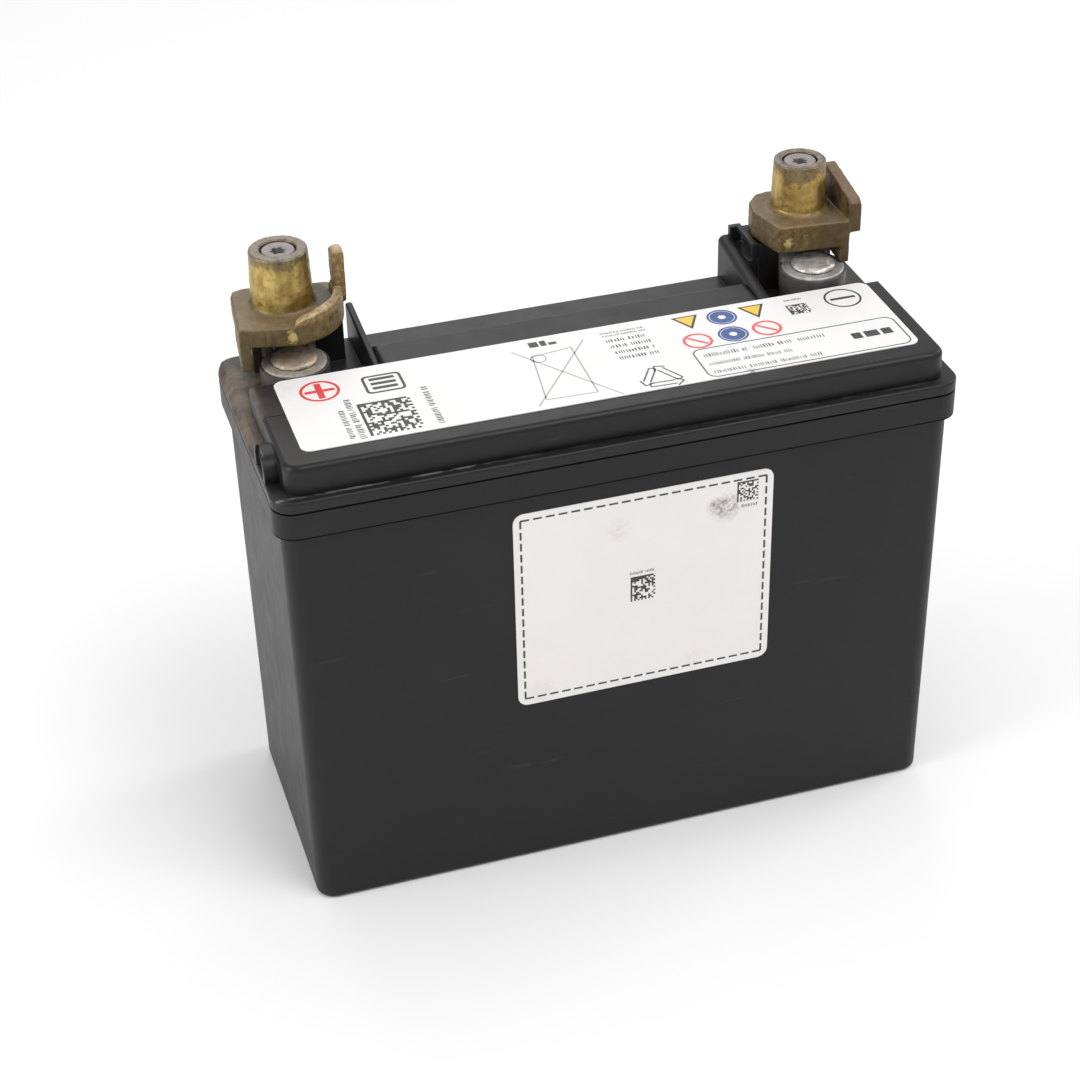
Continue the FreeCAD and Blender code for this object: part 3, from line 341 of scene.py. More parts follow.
# ---------------------------------------------------------------- cast brass
def wing_colour(mat, dull, mottle, radius, axis):
    """The raised wing is rubbed brighter than its foot; the crest's upward faces go paler still,
    partly wear and partly a painted highlight.
    """
    z, up = mat.place[2], mat.facing[2]
    wing = mat.band(radius, 0.0139, 0.0147) * mat.band(z, 0.1672, 0.1690)
    rubbed = wing * 0.85 * mat.ramp(mottle, 0.32, 0.62, low=0.35)
    dull = mat.mix(rubbed, dull, (0.285, 0.180, 0.078))
    veins = wing * mat.patches(0.50, 0.60, scale=620, detail=6, rough=0.72, twist=0.1)
    dull = mat.mix(veins * 0.55, dull, (0.60, 0.39, 0.135))
    # partly a painted highlight: upward faces of the crest go paler
    crest = wing * (mat.band(up, 0.35, 0.9) * mat.ramp(mottle, 0.38, 0.58, low=0.15))
    dull = mat.mix(crest * 0.7, dull, (0.60, 0.48, 0.31))
    # painted shade: two dark patches just inside the wing
    inner_shade_spots = [mat.near((axis[0] + along_x, axis[1] + along_y, 0.1678), inner=0.0030, outer=0.0070)
            for along_x, along_y in ((0.0122, -0.0035), (0.0118, 0.0045))]
    inside = mat.band(radius, 0.0149, 0.0143) * mat.band(z, 0.1655, 0.1670)
    inner_shade = inner_shade_spots[0].max(inner_shade_spots[1]) * inside
    shade_paint = mat.mix(mat.ramp(mottle, 0.40, 0.66), (0.035, 0.026, 0.018), (0.15, 0.125, 0.10))
    return mat.mix(inner_shade * 0.85, dull, shade_paint)


def bracket_colour(mat, dull_a, dull_b, mottle, blotch, gold_spot, gold_gain):
    """Dull brown of the bracket round the post."""
    dull = mat.mix(mat.ramp(mottle, 0.34, 0.68), dull_a, dull_b)
    dull = mat.mix(mat.ramp(blotch, 0.45, 0.66) * 0.55, dull, scaled(dull_a, 1.25))
    tops = mat.band(mat.facing[2], 0.5, 0.95) * mat.ramp(blotch, 0.30, 0.60, low=0.55) * 0.8
    dull = mat.mix(tops, dull, (0.215, 0.160, 0.098))
    front = mat.band(mat.facing[1], -0.6, -0.95) * 0.55
    dull = mat.mix(front, dull, scaled(dull_a, (1.0, 0.95, 0.80)))
    warm = (mat.patches(0.42, 0.66, scale=640, detail=6, rough=0.72, twist=0.1)
            * mat.near(gold_spot, inner=0.003, outer=0.012))
    dull = mat.mix(warm * gold_gain, dull, (0.50, 0.335, 0.10))
    rust = mat.patches(0.54, 0.70, scale=230, detail=5, rough=0.65) * 0.35
    return mat.mix(rust, dull, (0.20, 0.115, 0.045))


def bare_patch(mat, dull, spot):
    """Ragged patch of bright metal at a spot."""
    ragged = (mat.near(spot, inner=0.0, outer=0.0036)
              + (mat.noise(scale=520, detail=6, rough=0.75) - 0.5) * 2.4)
    patch = mat.band(ragged, 0.45, 0.85) * mat.near(spot, inner=0.0022, outer=0.0044)
    return mat.mix(patch * 0.72, dull, (0.66, 0.52, 0.19))


def post_colour(mat, mottle, blotch, fleck, tint):
    """Brighter yellow of the tapered post."""
    streak = mat.noise(scale=300, detail=5, rough=0.6, twist=0.1, stretch=(1.0, 1.0, 0.5))
    bright = mat.patches(0.68, 0.73, scale=1500, detail=3, rough=0.6)
    gold = mat.mix(mat.ramp(streak, 0.32, 0.66), scaled((0.35, 0.245, 0.078), tint),
                   scaled((0.68, 0.51, 0.205), tint))
    gold = mat.mix(mat.ramp(blotch, 0.46, 0.66) * 0.5, gold, scaled((0.27, 0.175, 0.062), tint))
    gold = mat.mix(mat.ramp(mottle, 0.55, 0.66) * 0.45, gold,
                   scaled((0.19, 0.125, 0.045), tint))
    gold = mat.mix(mat.ramp(fleck, 0.64, 0.70) * 0.45, gold, (0.07, 0.042, 0.02))
    return mat.mix(bright * 0.5, gold, scaled((0.84, 0.68, 0.36), tint))


def brass(name, post, gold_spot, gold_gain, bare_spot, dull_a, dull_b, tint, wing=False):
    """Cast brass: dull brown bracket, brighter yellow taper, grey tarnished end face."""
    mat = Shader(name)
    z, up = mat.place[2], mat.facing[2]
    radius = mat.radius(post.axis)
    on_post = (mat.band(z, post.foot + 0.0002, post.foot + 0.0016)
               * mat.band(radius, post.radius + 0.0013, post.radius + 0.0019, 1.0, 0.0))
    mottle = mat.noise(scale=390, detail=6, rough=0.66, twist=0.1)
    blotch = mat.noise(scale=165, detail=6, rough=0.66, twist=0.25)
    fleck = mat.noise(scale=1100, detail=4, rough=0.6)
    dull = bracket_colour(mat, dull_a, dull_b, mottle, blotch, gold_spot, gold_gain)
    if wing:
        dull = wing_colour(mat, dull, mottle, radius, post.axis)
    dull = bare_patch(mat, dull, bare_spot)
    colour = mat.mix(on_post, dull, post_colour(mat, mottle, blotch, fleck, tint))
    # raised edges worn paler, partly a painted edge highlight
    worn = mat.edges(0.0009, samples=6, full=0.25)
    worn = worn * mat.patches(0.36, 0.60, scale=260, detail=5, rough=0.6)
    worn = worn * mat.open_air(0.003, 0.35, 0.9)
    colour = mat.mix(worn * 0.55, colour, (0.50, 0.39, 0.20))
    # the end face and an uneven collar below it go grey brown
    ragged = z + (mat.noise(scale=130, detail=6, rough=0.7) - 0.5) * 0.017
    collar = mat.band(ragged, post.top - 0.0042, post.top - 0.0024) * on_post
    collar = collar * mat.ramp(fleck, 0.35, 0.55, low=0.55)
    brown = mat.mix(mat.ramp(mottle, 0.36, 0.64), (0.070, 0.048, 0.024), (0.190, 0.142, 0.074))
    pale_specks = mat.patches(0.60, 0.68, scale=1500, detail=4, rough=0.7) * 0.6
    brown = mat.mix(pale_specks, brown, (0.52, 0.46, 0.33))
    colour = mat.mix(collar * 0.80, colour, brown)
    end = mat.band(z, post.top - 0.0010, post.top - 0.0002).max(collar * 0.12)
    tarnish = mat.mix(mat.ramp(mottle, 0.36, 0.64), (0.115, 0.092, 0.068), (0.27, 0.225, 0.165))
    colour = mat.mix(end * 0.92, colour, tarnish)
    # painted shade in corners and on undersides
    colour = mat.mix(mat.open_air(0.0040, 0.05, 0.70), (0.045, 0.030, 0.016), colour)
    colour = mat.mix(mat.band(up, -0.2, -0.8) * 0.6, colour, (0.04, 0.03, 0.018))
    metallic = (0.42 + on_post * 0.48 - mat.ramp(mottle, 0.4, 0.7) * 0.2).clamped()
    height = mat.noise(scale=1300, detail=5, rough=0.7) * 0.6 + mottle * 1.4
    return mat.surface(
        Base_Color=colour,
        Metallic=(metallic - end * 0.35).clamped(),
        Roughness=(0.50 - on_post * 0.14 + (mottle - 0.5) * 0.5).clamped(),
        Specular_IOR_Level=0.5,
        Normal=mat.bump(height, strength=0.38, distance=0.00016))


# ---------------------------------------------------------------- other materials
def metal(name, dark, light, rough, scale, bump, metallic, turned_about=None):
    """Plain metal, with fine turning rings when an axis is given."""
    rounding = 0.0003
    mat = Shader(name)
    grain = mat.noise(scale=scale, detail=6, rough=0.65, twist=0.5)
    broad = mat.noise(scale=scale * 0.22, detail=4, rough=0.6, twist=0.8)
    colour = mat.mix(mat.ramp(grain, 0.35, 0.68), dark, light)
    colour = mat.mix(mat.ramp(broad, 0.5, 0.7) * 0.5, colour, scaled(dark, 0.55))
    colour = mat.mix(mat.edges(rounding * 2) * 0.35, colour, scaled(light, 1.3))
    height = grain
    if turned_about:
        rings = (mat.radius(turned_about) * 26000.0).math("SINE")
        height = grain + rings * 0.25
    return mat.surface(
        Base_Color=colour,
        Metallic=metallic,
        Roughness=((rough - 0.12) + grain * 0.26).clamped(),
        Normal=mat.bump(height, bump, distance=0.0001, normal=mat.rounded_normal(rounding, 4)))


def lead(name, dark, light, rough, metallic, rear_y=1.0):
    """Lead casting, painted near black behind rear_y as shade (by default beyond every piece)."""
    mat = Shader(name)
    grain = mat.noise(scale=330, detail=6, rough=0.65, twist=0.3)
    broad = mat.noise(scale=90, detail=4, rough=0.6, twist=0.3)
    bright = mat.patches(0.58, 0.66, scale=240, detail=4, rough=0.6)
    colour = mat.mix(mat.ramp(grain, 0.35, 0.66), dark, light)
    colour = mat.mix(mat.ramp(broad, 0.45, 0.7) * 0.5, colour, scaled(dark, 0.5))
    colour = mat.mix(bright * 0.55, colour, scaled(light, 1.35))
    unshaded = mat.open_air(0.0022, 0.05, 0.72)
    # painted shade: behind rear_y the lead goes near black
    painted_rear_shade = (mat.band(mat.place[1], rear_y - 0.001, rear_y + 0.001)
            * mat.ramp(broad, 0.3, 0.75, low=1.0, high=0.7))
    colour = mat.mix(painted_rear_shade, colour, (0.018, 0.016, 0.015))
    # painted shade: crevices go nearly black
    colour = mat.mix(unshaded, (0.02, 0.017, 0.015), colour)
    colour = mat.mix(mat.edges(0.0006) * unshaded * 0.4, colour, scaled(light, 1.25))
    return mat.surface(
        Base_Color=colour,
        Metallic=(metallic - painted_rear_shade * metallic).clamped(),
        Roughness=((rough - 0.12) + grain * 0.24 + painted_rear_shade * 0.2).clamped(),
        Normal=mat.bump(grain, strength=0.4, distance=0.00012))


def film(name, base, dirt, smudges):
    """Satin printed film. Smudges are (place, radius, strength, colour)."""
    mat = Shader(name)
    broad = mat.noise(scale=35, detail=5, rough=0.6)
    fine = mat.noise(scale=900, detail=3, rough=0.6)
    soil = mat.patches(0.60, 0.74, scale=160, detail=8, rough=0.75)
    colour = mat.mix(mat.ramp(broad, 0.35, 0.75), base, scaled(base, 0.955))
    colour = mat.mix(soil * dirt, colour, (0.42, 0.38, 0.33))
    colour = mat.mix(mat.ramp(fine, 0.6, 0.8) * 0.06, colour, (0.5, 0.47, 0.43))
    for place, radius, strength, tone in smudges:
        smudge = (mat.near(place, radius * 0.15, radius)
                  * mat.patches(0.40, 0.62, scale=520, detail=7, rough=0.75, twist=0.8))
        colour = mat.mix(smudge * strength, colour, tone)
    return mat.surface(
        Base_Color=colour,
        Roughness=(0.36 + broad * 0.18).clamped(),
        Specular_IOR_Level=0.4,
        Normal=mat.bump(fine, strength=0.05, distance=0.00005))


def ink(name, colour, fade=0.25):
    """Printing ink, faded in small patches towards a paler tone."""
    mat = Shader(name)
    worn = mat.patches(0.45, 0.72, scale=1500, detail=4, rough=0.7)
    paler = tuple(channel * 0.4 + 0.45 for channel in colour)
    return mat.surface(
        Base_Color=mat.mix(worn * fade, colour, paler),
        Roughness=0.42 + worn * 0.15,
        Specular_IOR_Level=0.35)


def paste(name, dark, light, scale, rough=0.85, metallic=0.0):
    """Rough, porous filling."""
    mat = Shader(name)
    grain = mat.noise(scale=scale, detail=6, rough=0.65)
    return mat.surface(
        Base_Color=mat.mix(mat.ramp(grain, 0.35, 0.65), dark, light),
        Roughness=rough,
        Metallic=metallic,
        Normal=mat.bump(grain, strength=0.5, distance=0.0003))


lid_seam = (SEAM_Z, 0.00042)
# the case's second seam is a painted shadow line under the collar
case_black = plastic(
    "case_black", (0.0050, 0.0050, 0.0052), (0.0082, 0.0080, 0.0083), rough=0.45,
    rounding=0.0006, dust=0.10, seams=[lid_seam, (0.1337, 0.0008)])
lid_black = plastic(
    "lid_black", (0.0080, 0.0077, 0.0082), (0.0125, 0.0119, 0.0126), rough=0.43,
    rounding=0.0005, dust=0.27, grain=0.9, specular=0.33, seams=[lid_seam], shelf=True,
    bushes=[((-0.0822, 0.0202), (0.085, 0.074, 0.064)),
            ((0.0813, 0.0202), (0.120, 0.117, 0.113))])
cover_black = plastic(
    "cover_black", (0.0058, 0.0056, 0.0059), (0.0092, 0.0089, 0.0093), rough=0.40,
    rounding=0.0005, dust=0.10, grain=0.9, specular=0.34, shelf=True)
valve_rubber = plastic(
    "valve_rubber", (0.012, 0.012, 0.012), (0.02, 0.02, 0.02), rough=0.75,
    rounding=0.0004, grain=1.2)

REAR_Y = 0.0268  # front of the terminals' rear blocks, painted near black behind it as shade
cast_lead = lead("cast_lead", (0.30, 0.285, 0.27), (0.46, 0.44, 0.42), rough=0.52, metallic=0.55)
terminal_lead = {
    "positive": lead("cast_lead_positive", (0.30, 0.255, 0.215), (0.50, 0.445, 0.39),
                     rough=0.50, metallic=0.25, rear_y=REAR_Y),
    "negative": lead("cast_lead_negative", (0.34, 0.33, 0.315), (0.58, 0.565, 0.54),
                     rough=0.44, metallic=0.4, rear_y=REAR_Y)}
pole_lead = {
    "positive": lead("melted_lead_positive", (0.33, 0.245, 0.180), (0.56, 0.445, 0.345),
                     rough=0.42, metallic=0.25),
    "negative": lead("melted_lead_negative", (0.46, 0.42, 0.385), (0.78, 0.745, 0.70),
                     rough=0.34, metallic=0.45)}
plated_steel = metal("plated_steel", (0.45, 0.44, 0.44), (0.62, 0.61, 0.60), rough=0.36,
                     scale=700, bump=0.2, metallic=0.95)
lead_dioxide = paste("lead_dioxide", (0.045, 0.018, 0.010), (0.085, 0.035, 0.018), scale=600)
sponge_lead = paste("sponge_lead", (0.10, 0.10, 0.105), (0.17, 0.17, 0.175), scale=600,
                    rough=0.7, metallic=0.3)
glass_mat = paste("glass_mat", (0.62, 0.62, 0.60), (0.78, 0.78, 0.75), scale=1400, rough=0.95)
porous_disc = paste("porous_disc", (0.5, 0.49, 0.46), (0.68, 0.67, 0.63), scale=2500,
                    rough=0.95)

OLD_DIRT = (0.45, 0.40, 0.34)
top_film = film("top_film", (0.81, 0.802, 0.795), dirt=0.04, smudges=[
    ((0.040, -0.0330, TOP_LABEL_Z), 0.0035, 0.9, (0.12, 0.11, 0.10)),
    ((-0.089, 0.002, TOP_LABEL_Z), 0.006, 0.25, OLD_DIRT)])
front_film = film("front_film", (0.845, 0.822, 0.800), dirt=0.08, smudges=[
    ((0.0300, FRONT_LOW.y, 0.1168), 0.0062, 0.95, (0.16, 0.13, 0.11)),
    ((0.0268, FRONT_LOW.y, 0.1176), 0.0040, 0.85, (0.20, 0.16, 0.13)),
    ((-0.0035, FRONT_LOW.y, 0.1160), 0.0052, 0.30, (0.40, 0.36, 0.32)),
    ((-0.028, FRONT_LOW.y, 0.064), 0.006, 0.18, OLD_DIRT),
    ((0.020, FRONT_LOW.y, 0.064), 0.004, 0.35, OLD_DIRT)])
ink_black = ink("ink_black", (0.03, 0.03, 0.032))
ink_grey = ink("ink_grey", (0.075, 0.075, 0.08), fade=0.3)
ink_pale = ink("ink_pale_grey", (0.36, 0.36, 0.37), fade=0.4)
ink_red = ink("ink_red", (0.72, 0.035, 0.04))
ink_rose = ink("ink_rose", (0.74, 0.10, 0.11))
ink_blue = ink("ink_blue", (0.035, 0.085, 0.27))
ink_yellow = ink("ink_yellow", (0.86, 0.53, 0.06), fade=0.15)
# a material that nothing wears, kept with the set of inks
ink("ink_white", (0.80, 0.80, 0.80), fade=0.1)

# CAD piece name pattern, material; every other piece is plated steel
LOOKS = (
    ("container", case_black), ("lid", lid_black), ("vent_cover", cover_black),
    ("relief_valve*", valve_rubber), ("*pole_seal", valve_rubber),
    ("flame_arrestor", porous_disc), ("top_label", top_film), ("front_label", front_film),
    ("*_pole", cast_lead), ("*_terminal", cast_lead), ("cell_connector*", cast_lead),
    ("positive_plates*", lead_dioxide), ("negative_plates*", sponge_lead),
    ("separators*", glass_mat))
for node_name, piece in nodes.items():
    matches = (look for pattern, look in LOOKS if fnmatchcase(node_name, pattern))
    piece.data.materials.clear()
    piece.data.materials.append(next(matches, plated_steel))


# ---------------------------------------------------------------- mesh helpers
def link_object(name, mesh):
    made = bpy.data.objects.new(name, mesh)
    bpy.context.scene.collection.objects.link(made)
    return made


def mesh_object(name, verts, faces, material, smooth=False):
    mesh = bpy.data.meshes.new(name)
    mesh.from_pydata([tuple(vert) for vert in verts], [], faces)
    mesh.update()
    work = bmesh.new()
    work.from_mesh(mesh)
    bmesh.ops.recalc_face_normals(work, faces=work.faces)
    work.to_mesh(mesh)
    work.free()
    made = link_object(name, mesh)
    mesh.materials.append(material)
    if smooth:
        for face in mesh.polygons:
            face.use_smooth = True
    return made


def bake_modifiers(made):
    """Replaces an object's mesh by the result of its modifiers."""
    bpy.context.view_layer.update()
    depsgraph = bpy.context.evaluated_depsgraph_get()
    mesh = bpy.data.meshes.new_from_object(made.evaluated_get(depsgraph))
    made.modifiers.clear()
    old = made.data
    made.data = mesh
    bpy.data.meshes.remove(old)


def welded_copy(node, name):
    mesh = nodes[node].data.copy()
    mesh.name = name
    work = bmesh.new()
    work.from_mesh(mesh)
    bmesh.ops.remove_doubles(work, verts=work.verts, dist=2e-6)
    bmesh.ops.dissolve_degenerate(work, edges=work.edges, dist=1e-7)
    bmesh.ops.recalc_face_normals(work, faces=work.faces)
    work.to_mesh(mesh)
    work.free()
    custom_normals = mesh.attributes.get("custom_normal")
    if custom_normals:
        mesh.attributes.remove(custom_normals)
    return link_object(name, mesh)


# ---------------------------------------------------------------- castings
# Holds vertices between z low and high, and within reach of a cone, on that cone
Snap = namedtuple("Snap", "axis low high low_radius high_radius reach")


def snap_to_cones(vert, snaps):
    place = vert.co
    for snap in snaps:
        if snap.low <= place.z <= snap.high:
            along_x, along_y = place.x - snap.axis[0], place.y - snap.axis[1]
            distance = math.hypot(along_x, along_y)
            share = (place.z - snap.low) / (snap.high - snap.low)
            wanted = snap.low_radius + (snap.high_radius - snap.low_radius) * share
            if abs(distance - wanted) < snap.reach:
                gain = wanted / distance
                vert.co = Vector((snap.axis[0] + along_x * gain,
                                  snap.axis[1] + along_y * gain, place.z))
                return


def cast(node, slot, material, voxel, soft, rough, seed, grain=0.0, snaps=(), shape=None):
    """The design shape with its edges rounded by the mould and a slightly uneven skin."""
    made = welded_copy(node, node + "_casting")
    remesh = made.modifiers.new("remesh", "REMESH")
    remesh.mode = "VOXEL"
    remesh.voxel_size = voxel
    remesh.adaptivity = 0.0
    smooth = made.modifiers.new("soft", "SMOOTH")
    smooth.factor = 0.5
    smooth.iterations = soft
    bake_modifiers(made)
    mesh = made.data
    for vert in mesh.vertices:
        snap_to_cones(vert, snaps)
    if shape:
        for vert in mesh.vertices:
            vert.co = shape(vert.co.copy())
    mesh.update()
    normals = [vert.normal.copy() for vert in mesh.vertices]
    offset = Vector((seed, seed * 1.7, seed * 0.3))
    for vert, normal in zip(mesh.vertices, normals):
        place = vert.co
        # broad unevenness, then fine grain; 420 and 1900 are noise frequencies per metre
        rise = (rough * noise.fractal(place * 420 + offset, 1.0, 2.0, 4)
                + grain * noise.noise(place * 1900 + offset))
        vert.co = place + normal * rise
    for face in mesh.polygons:
        face.use_smooth = True
    mesh.materials.clear()
    mesh.materials.append(material)
    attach(made, "battery")
    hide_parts(node)


def wing_crest(place):
    """Slopes the positive wing's nose and rolls its flat crest into a rounded bead."""
    foot_z, crest_z = 0.1677, 0.1694
    along_x, along_y = place.x - POSITIVE.axis[0], place.y - POSITIVE.axis[1]
    radius = math.hypot(along_x, along_y)
    if 0.0143 < radius < 0.0182 and foot_z < place.z < 0.1720 and along_y < 0:
        angle = math.degrees(math.atan2(along_y, along_x))
        if angle < -48.0:
            share = min(1.0, (-48.0 - angle) / 42.0)
            place.z -= 0.0021 * share * share * min(1.0, (place.z - foot_z) / 0.0030)
    on_crest = 0.0141 < radius < 0.0184 and crest_z < place.z < 0.1718
    if on_crest and (along_x > 0 or along_y < -0.012):
        off_middle = min(1.0, abs(radius - 0.01625) / 0.00165)
        share = min(1.0, (place.z - crest_z) / 0.0014)
        place.z -= 0.0012 * share * off_middle ** 3
    return place


TAPER = 24.0  # height gained for each unit of radius lost on a post


def post_snaps(post):
    """Keeps the post's outer cone and its bore true."""
    foot_gap, top_gap = 0.0012, 0.0009
    bore_radius = 0.00535
    return [
        Snap(post.axis, post.foot + foot_gap, post.top - top_gap,
             post.radius + (post.top - post.foot - foot_gap) / TAPER,
             post.radius + top_gap / TAPER, 0.00022),
        Snap(post.axis, post.top - 0.0055, post.top - 0.0008, bore_radius, bore_radius, 0.00022)]


# arcs round the positive post: low z, high z, radius
WING_ARCS = (
    (0.1625, 0.1815, 0.0178), (0.1682, 0.1700, 0.0147),
    (0.1680, 0.1815, 0.0188), (0.1700, 0.1815, 0.0152))
wing_snaps = [Snap(POSITIVE.axis, low, high, radius, radius, 0.0002)
              for low, high, radius in WING_ARCS]


def beside(post, along_x, along_y, z):
    return (post.axis[0] + along_x, post.axis[1] + along_y, z)


brass_positive = brass(
    "brass_positive", POSITIVE, gold_spot=beside(POSITIVE, 0.0105, -0.0145, 0.1665),
    gold_gain=0.40, bare_spot=beside(POSITIVE, -0.0010, -0.0177, 0.1645),
    dull_a=(0.090, 0.064, 0.027), dull_b=(0.205, 0.143, 0.064), tint=(0.86, 0.86, 0.74),
    wing=True)
brass_negative = brass(
    "brass_negative", NEGATIVE, gold_spot=beside(NEGATIVE, -0.008, -0.014, 0.1665),
    gold_gain=0.32, bare_spot=beside(NEGATIVE, -0.0086, -0.0128, 0.1655),
    dull_a=(0.068, 0.043, 0.017), dull_b=(0.165, 0.108, 0.044), tint=(0.82, 0.77, 0.62))

BRASS_MESH = {"voxel": 0.00026, "soft": 19}
LEAD_VOXEL = 0.00032
cast("positive_adapter", "brass_positive", brass_positive, **BRASS_MESH, rough=0.00010,
     grain=0.00002, seed=3.0, snaps=post_snaps(POSITIVE) + wing_snaps, shape=wing_crest)
cast("negative_adapter", "brass_negative", brass_negative, **BRASS_MESH, rough=0.00009,
     grain=0.00002, seed=11.0, snaps=post_snaps(NEGATIVE))

# lead terminals and the burnt-off pole tops
for word, terminal_seed, pole_seed in (("positive", 5.0, 17.0), ("negative", 8.0, 23.0)):
    cast(word + "_terminal", "lead", terminal_lead[word], LEAD_VOXEL, 8,
         rough=0.00007, seed=terminal_seed)
    cast(word + "_pole", "lead", pole_lead[word], LEAD_VOXEL, 10,
         rough=0.00022, seed=pole_seed)


# ---------------------------------------------------------------- screws
HEAD_RADIUS, HEAD_HEIGHT = 0.0050, 0.0060
THREAD_CREST, THREAD_ROOT, THREAD_STEP = 0.00292, 0.00268, 0.0005
SCREW_SEGMENTS = 96
# from the socket floor over the rim to the shank:
# radius at a lobe, radius between lobes, depth below the head's top
HEAD_PROFILE = (
    (0.0006, 0.0006, 0.0036),
    (0.00235, 0.00175, 0.0033),
    (0.00240, 0.00180, 0.0006),
    (0.00258, 0.00200, 0.00035),
    (0.00285, 0.00285, 0.00030),
    (0.0040, 0.0040, 0.00004),
    (0.00445, 0.00445, 0.00001),
    (0.00472, 0.00472, 0.00010),
    (0.00490, 0.00490, 0.00028),
    (HEAD_RADIUS, HEAD_RADIUS, 0.00060),
    (HEAD_RADIUS, HEAD_RADIUS, HEAD_HEIGHT - 0.0003),
    (HEAD_RADIUS - 0.0003, HEAD_RADIUS - 0.0003, HEAD_HEIGHT),
    (0.0034, 0.0034, HEAD_HEIGHT),
    (0.0030, 0.0030, HEAD_HEIGHT + 0.0004))


def screw(word, axis, steel, shade_paint):
    """Round head with a dished top and a six-lobed socket, on a threaded shank."""
    low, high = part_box(word + "_adapter_screw")
    top = high.z
    # rings from the socket down: lobe radius, radius between lobes, z
    rings = [(outer, inner, top - depth) for outer, inner, depth in HEAD_PROFILE]
    z = top - HEAD_HEIGHT - 0.0008
    thread_end = low.z + 0.0006
    half_turns = 0
    while z > thread_end:
        radius = (THREAD_CREST, THREAD_ROOT)[half_turns % 2]
        rings.append((radius, radius, z))
        z -= THREAD_STEP
        half_turns += 1
    rings += [(0.0026, 0.0026, thread_end), (0.0021, 0.0021, low.z)]

    verts, faces = [], []
    count = SCREW_SEGMENTS
    for outer, inner, z in rings:
        for i in range(count):
            angle = 2 * math.pi * i / count
            radius = inner + (outer - inner) * (0.5 + 0.5 * math.cos(6 * angle)) ** 0.8
            verts.append((axis[0] + radius * math.cos(angle),
                          axis[1] + radius * math.sin(angle), z))
    last = len(verts) - count
    for first in range(0, last, count):
        for i in range(count):
            j = (i + 1) % count
            faces.append((first + i, first + j, first + count + j, first + count + i))
    faces.append(tuple(range(count)))
    faces.append(tuple(reversed(range(last, last + count))))

    made = mesh_object(word + "_screw_head", verts, faces, steel, smooth=True)
    made.data.materials.append(shade_paint)
    # painted shade: faces inside the socket take the darker second material
    for face in made.data.polygons:
        centre = face.center
        distance = math.hypot(centre.x - axis[0], centre.y - axis[1])
        if top - 0.004 < centre.z < top - 0.0008 and distance < 0.0030:
            face.material_index = 1
    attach(made, word + "_adapter_screw")
    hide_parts(word + "_adapter_screw")


# darker metal for inside the sockets, painted shade
painted_socket_shade = metal("painted_socket_shade", (0.085, 0.075, 0.075), (0.22, 0.20, 0.20), rough=0.6,
                     scale=900, bump=0.3, metallic=0.5)
for word, post in (("positive", POSITIVE), ("negative", NEGATIVE)):
    steel = metal(word + "_screw_steel", (0.27, 0.235, 0.235), (0.42, 0.375, 0.375),
                  rough=0.55, scale=900, bump=0.3, metallic=0.55, turned_about=post.axis)
    screw(word, post.axis, steel, painted_socket_shade)


# ---------------------------------------------------------------- prints
INK_RISE = 0.00003


def circle(centre, radius, count=72):
    return [(centre[0] + radius * math.cos(2 * math.pi * i / count),
             centre[1] + radius * math.sin(2 * math.pi * i / count)) for i in range(count)]


def rounded_outline(x0, y0, x1, y1, radius, steps=8):
    points = []
    corners = ((x1 - radius, y1 - radius, 0), (x0 + radius, y1 - radius, 90),
               (x0 + radius, y0 + radius, 180), (x1 - radius, y0 + radius, 270))
    for x, y, start in corners:
        for i in range(steps + 1):
            angle = math.radians(start + 90 * i / steps)
            points.append((x + radius * math.cos(angle), y + radius * math.sin(angle)))
    return points


